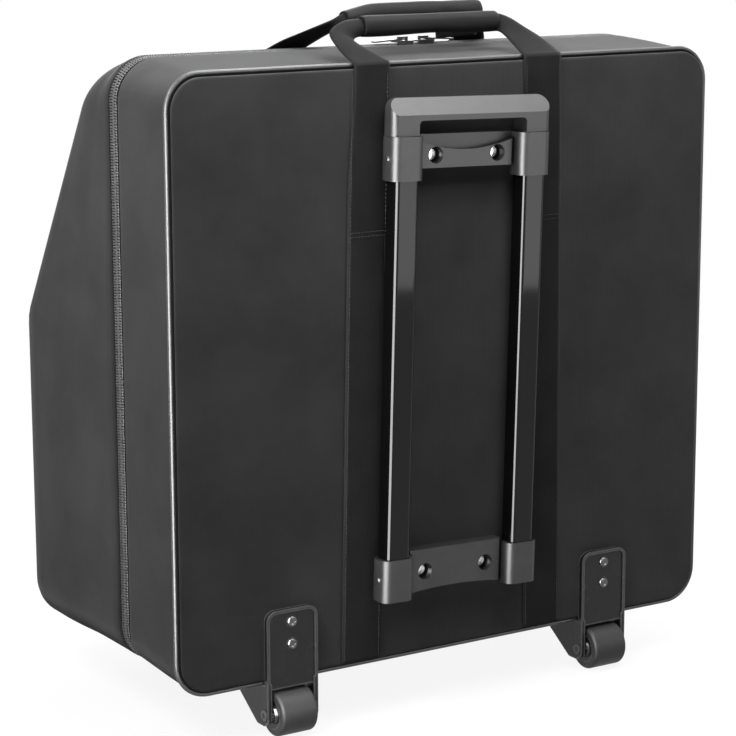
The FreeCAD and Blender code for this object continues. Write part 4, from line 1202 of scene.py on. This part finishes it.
def make_camera():
    forward = Vector(CAMERA_AHEAD).normalized()
    right = forward.cross(Vector((0, 0, 1))).normalized()
    up = right.cross(forward)
    side = right * math.cos(CAMERA_ROLL) + up * math.sin(CAMERA_ROLL)
    over = up * math.cos(CAMERA_ROLL) - right * math.sin(CAMERA_ROLL)
    turned = Matrix((side, over, -forward)).transposed().to_4x4()
    turned.translation = Vector(put([CAMERA_PLACE])[0])
    data = bpy.data.cameras.new("photo_camera")
    data.sensor_width = CAMERA_SENSOR
    data.lens = CAMERA_LENS
    data.clip_end = 50.0
    camera = place_object("photo_camera", data)
    camera.matrix_world = turned
    bpy.context.scene.camera = camera


# Lamps: name, place, aim, width and height in metres, power in watts. The gloss lamps show in
# reflections only.
LAMPS = (
    ("left", (-0.85, -0.24, 1.1), (-0.26, -0.05, 0.5), 0.45, 0.45, 15),
    ("over", (0.05, -0.14, 1.35), (0.0, 0.0, 0.5), 0.8, 0.8, 10),
    ("key", (0.0, -0.52, 1.1), (0, -0.12, 0.55), 0.4, 0.4, 5.2),
    ("rear", (0.9, 2.0, 1.5), (0, 0, 0.3), 1.2, 1.2, 32),
    ("right", (1.25, 0.25, 0.95), (0.2, 0.0, 0.3), 0.8, 0.8, 14),
)
GLOSS_LAMPS = (
    ("gloss_strip", (-0.37, -0.34, 0.28), (-0.06, -0.15, 0.31), 0.34, 0.6, 17),
    ("gloss_side", (-1.1, -0.75, 0.5), (-0.1, -0.15, 0.3), 0.7, 0.9, 6),
    ("gloss_over", (0.4, -0.34, 1.3), (0, -0.14, 0.5), 0.6, 0.6, 10),
    ("gloss_right", (0.55, -1.1, 0.47), (0, -0.15, 0.45), 0.8, 0.6, 5.4),
)


def lamp(name, place, aim, width, height, power, lights_colour=True):
    data = bpy.data.lights.new(name, "AREA")
    data.shape = "RECTANGLE"
    data.size = width
    data.size_y = height
    data.energy = power
    obj = place_object(name, data)
    obj.location = place
    obj.rotation_euler = (Vector(aim) - Vector(place)).to_track_quat("-Z", "Y").to_euler()
    obj.visible_camera = False
    obj.visible_diffuse = lights_colour


def seen_rays(tree):
    """1 for camera, glossy and transmission rays, 0 for those that light the object."""
    rays = node(tree, "ShaderNodeLightPath")
    mirrored = maths(tree, "MAXIMUM", (rays, "Is Glossy Ray"), (rays, "Is Transmission Ray"))
    return maths(tree, "MAXIMUM", (rays, "Is Camera Ray"), mirrored)


def mix_shaders(tree, share, first, second, target):
    """Mixes two shaders by a share into an output node's surface."""
    mix = node(tree, "ShaderNodeMixShader")
    link(tree, *share, mix, 0)
    link(tree, first, 0, mix, 1)
    link(tree, second, 0, mix, 2)
    link(tree, mix, 0, target, "Surface")


def make_world():
    """A white backdrop that gives the object only a little light."""
    white = (1, 1, 1, 1)
    world = bpy.data.worlds.new("studio")
    bpy.context.scene.world = world
    world.use_nodes = True
    tree = world.node_tree
    tree.nodes.clear()
    out = node(tree, "ShaderNodeOutputWorld")
    light = node(tree, "ShaderNodeBackground", Color=white, Strength=0.05)
    backdrop = node(tree, "ShaderNodeBackground", Color=white, Strength=1.0)
    mix_shaders(tree, seen_rays(tree), light, backdrop, out)


NEAR_FLOOR = {"From Min": 0.7, "From Max": 3.0}


def make_floor():
    """A pale floor that keeps the object's shadow near it and goes over into white."""
    r = 12.0
    mesh = bpy.data.meshes.new("floor")
    mesh.from_pydata([(-r, -r, 0), (r, -r, 0), (r, r, 0), (-r, r, 0)], [], [(0, 1, 2, 3)])
    floor = place_object("floor", mesh)
    material, tree, bsdf = new_material("pale_floor", (0.35, 0.35, 0.35), 0.8, 0.2)
    glow = node(tree, "ShaderNodeEmission", Color=(1, 1, 1, 1))
    coords = node(tree, "ShaderNodeTexCoord")
    away = node(tree, "ShaderNodeVectorMath", operation="LENGTH")
    link(tree, coords, "Object", away, 0)
    level = map_range(tree, away, "Value", {**NEAR_FLOOR, "To Min": 1.2, "To Max": 1.0})
    link(tree, level, "Result", glow, "Strength")
    glowing = map_range(tree, away, "Value", {**NEAR_FLOOR, "To Min": 0.75, "To Max": 1.0})
    share = maths(tree, "MULTIPLY", seen_rays(tree), (glowing, "Result"))
    mix_shaders(tree, share, bsdf, glow, tree.nodes["Material Output"])
    mesh.materials.append(material)


make_camera()
make_world()
make_floor()
for values in LAMPS:
    lamp(*values)
for values in GLOSS_LAMPS:
    lamp(*values, lights_colour=False)
bpy.context.scene.view_settings.view_transform = "Standard"
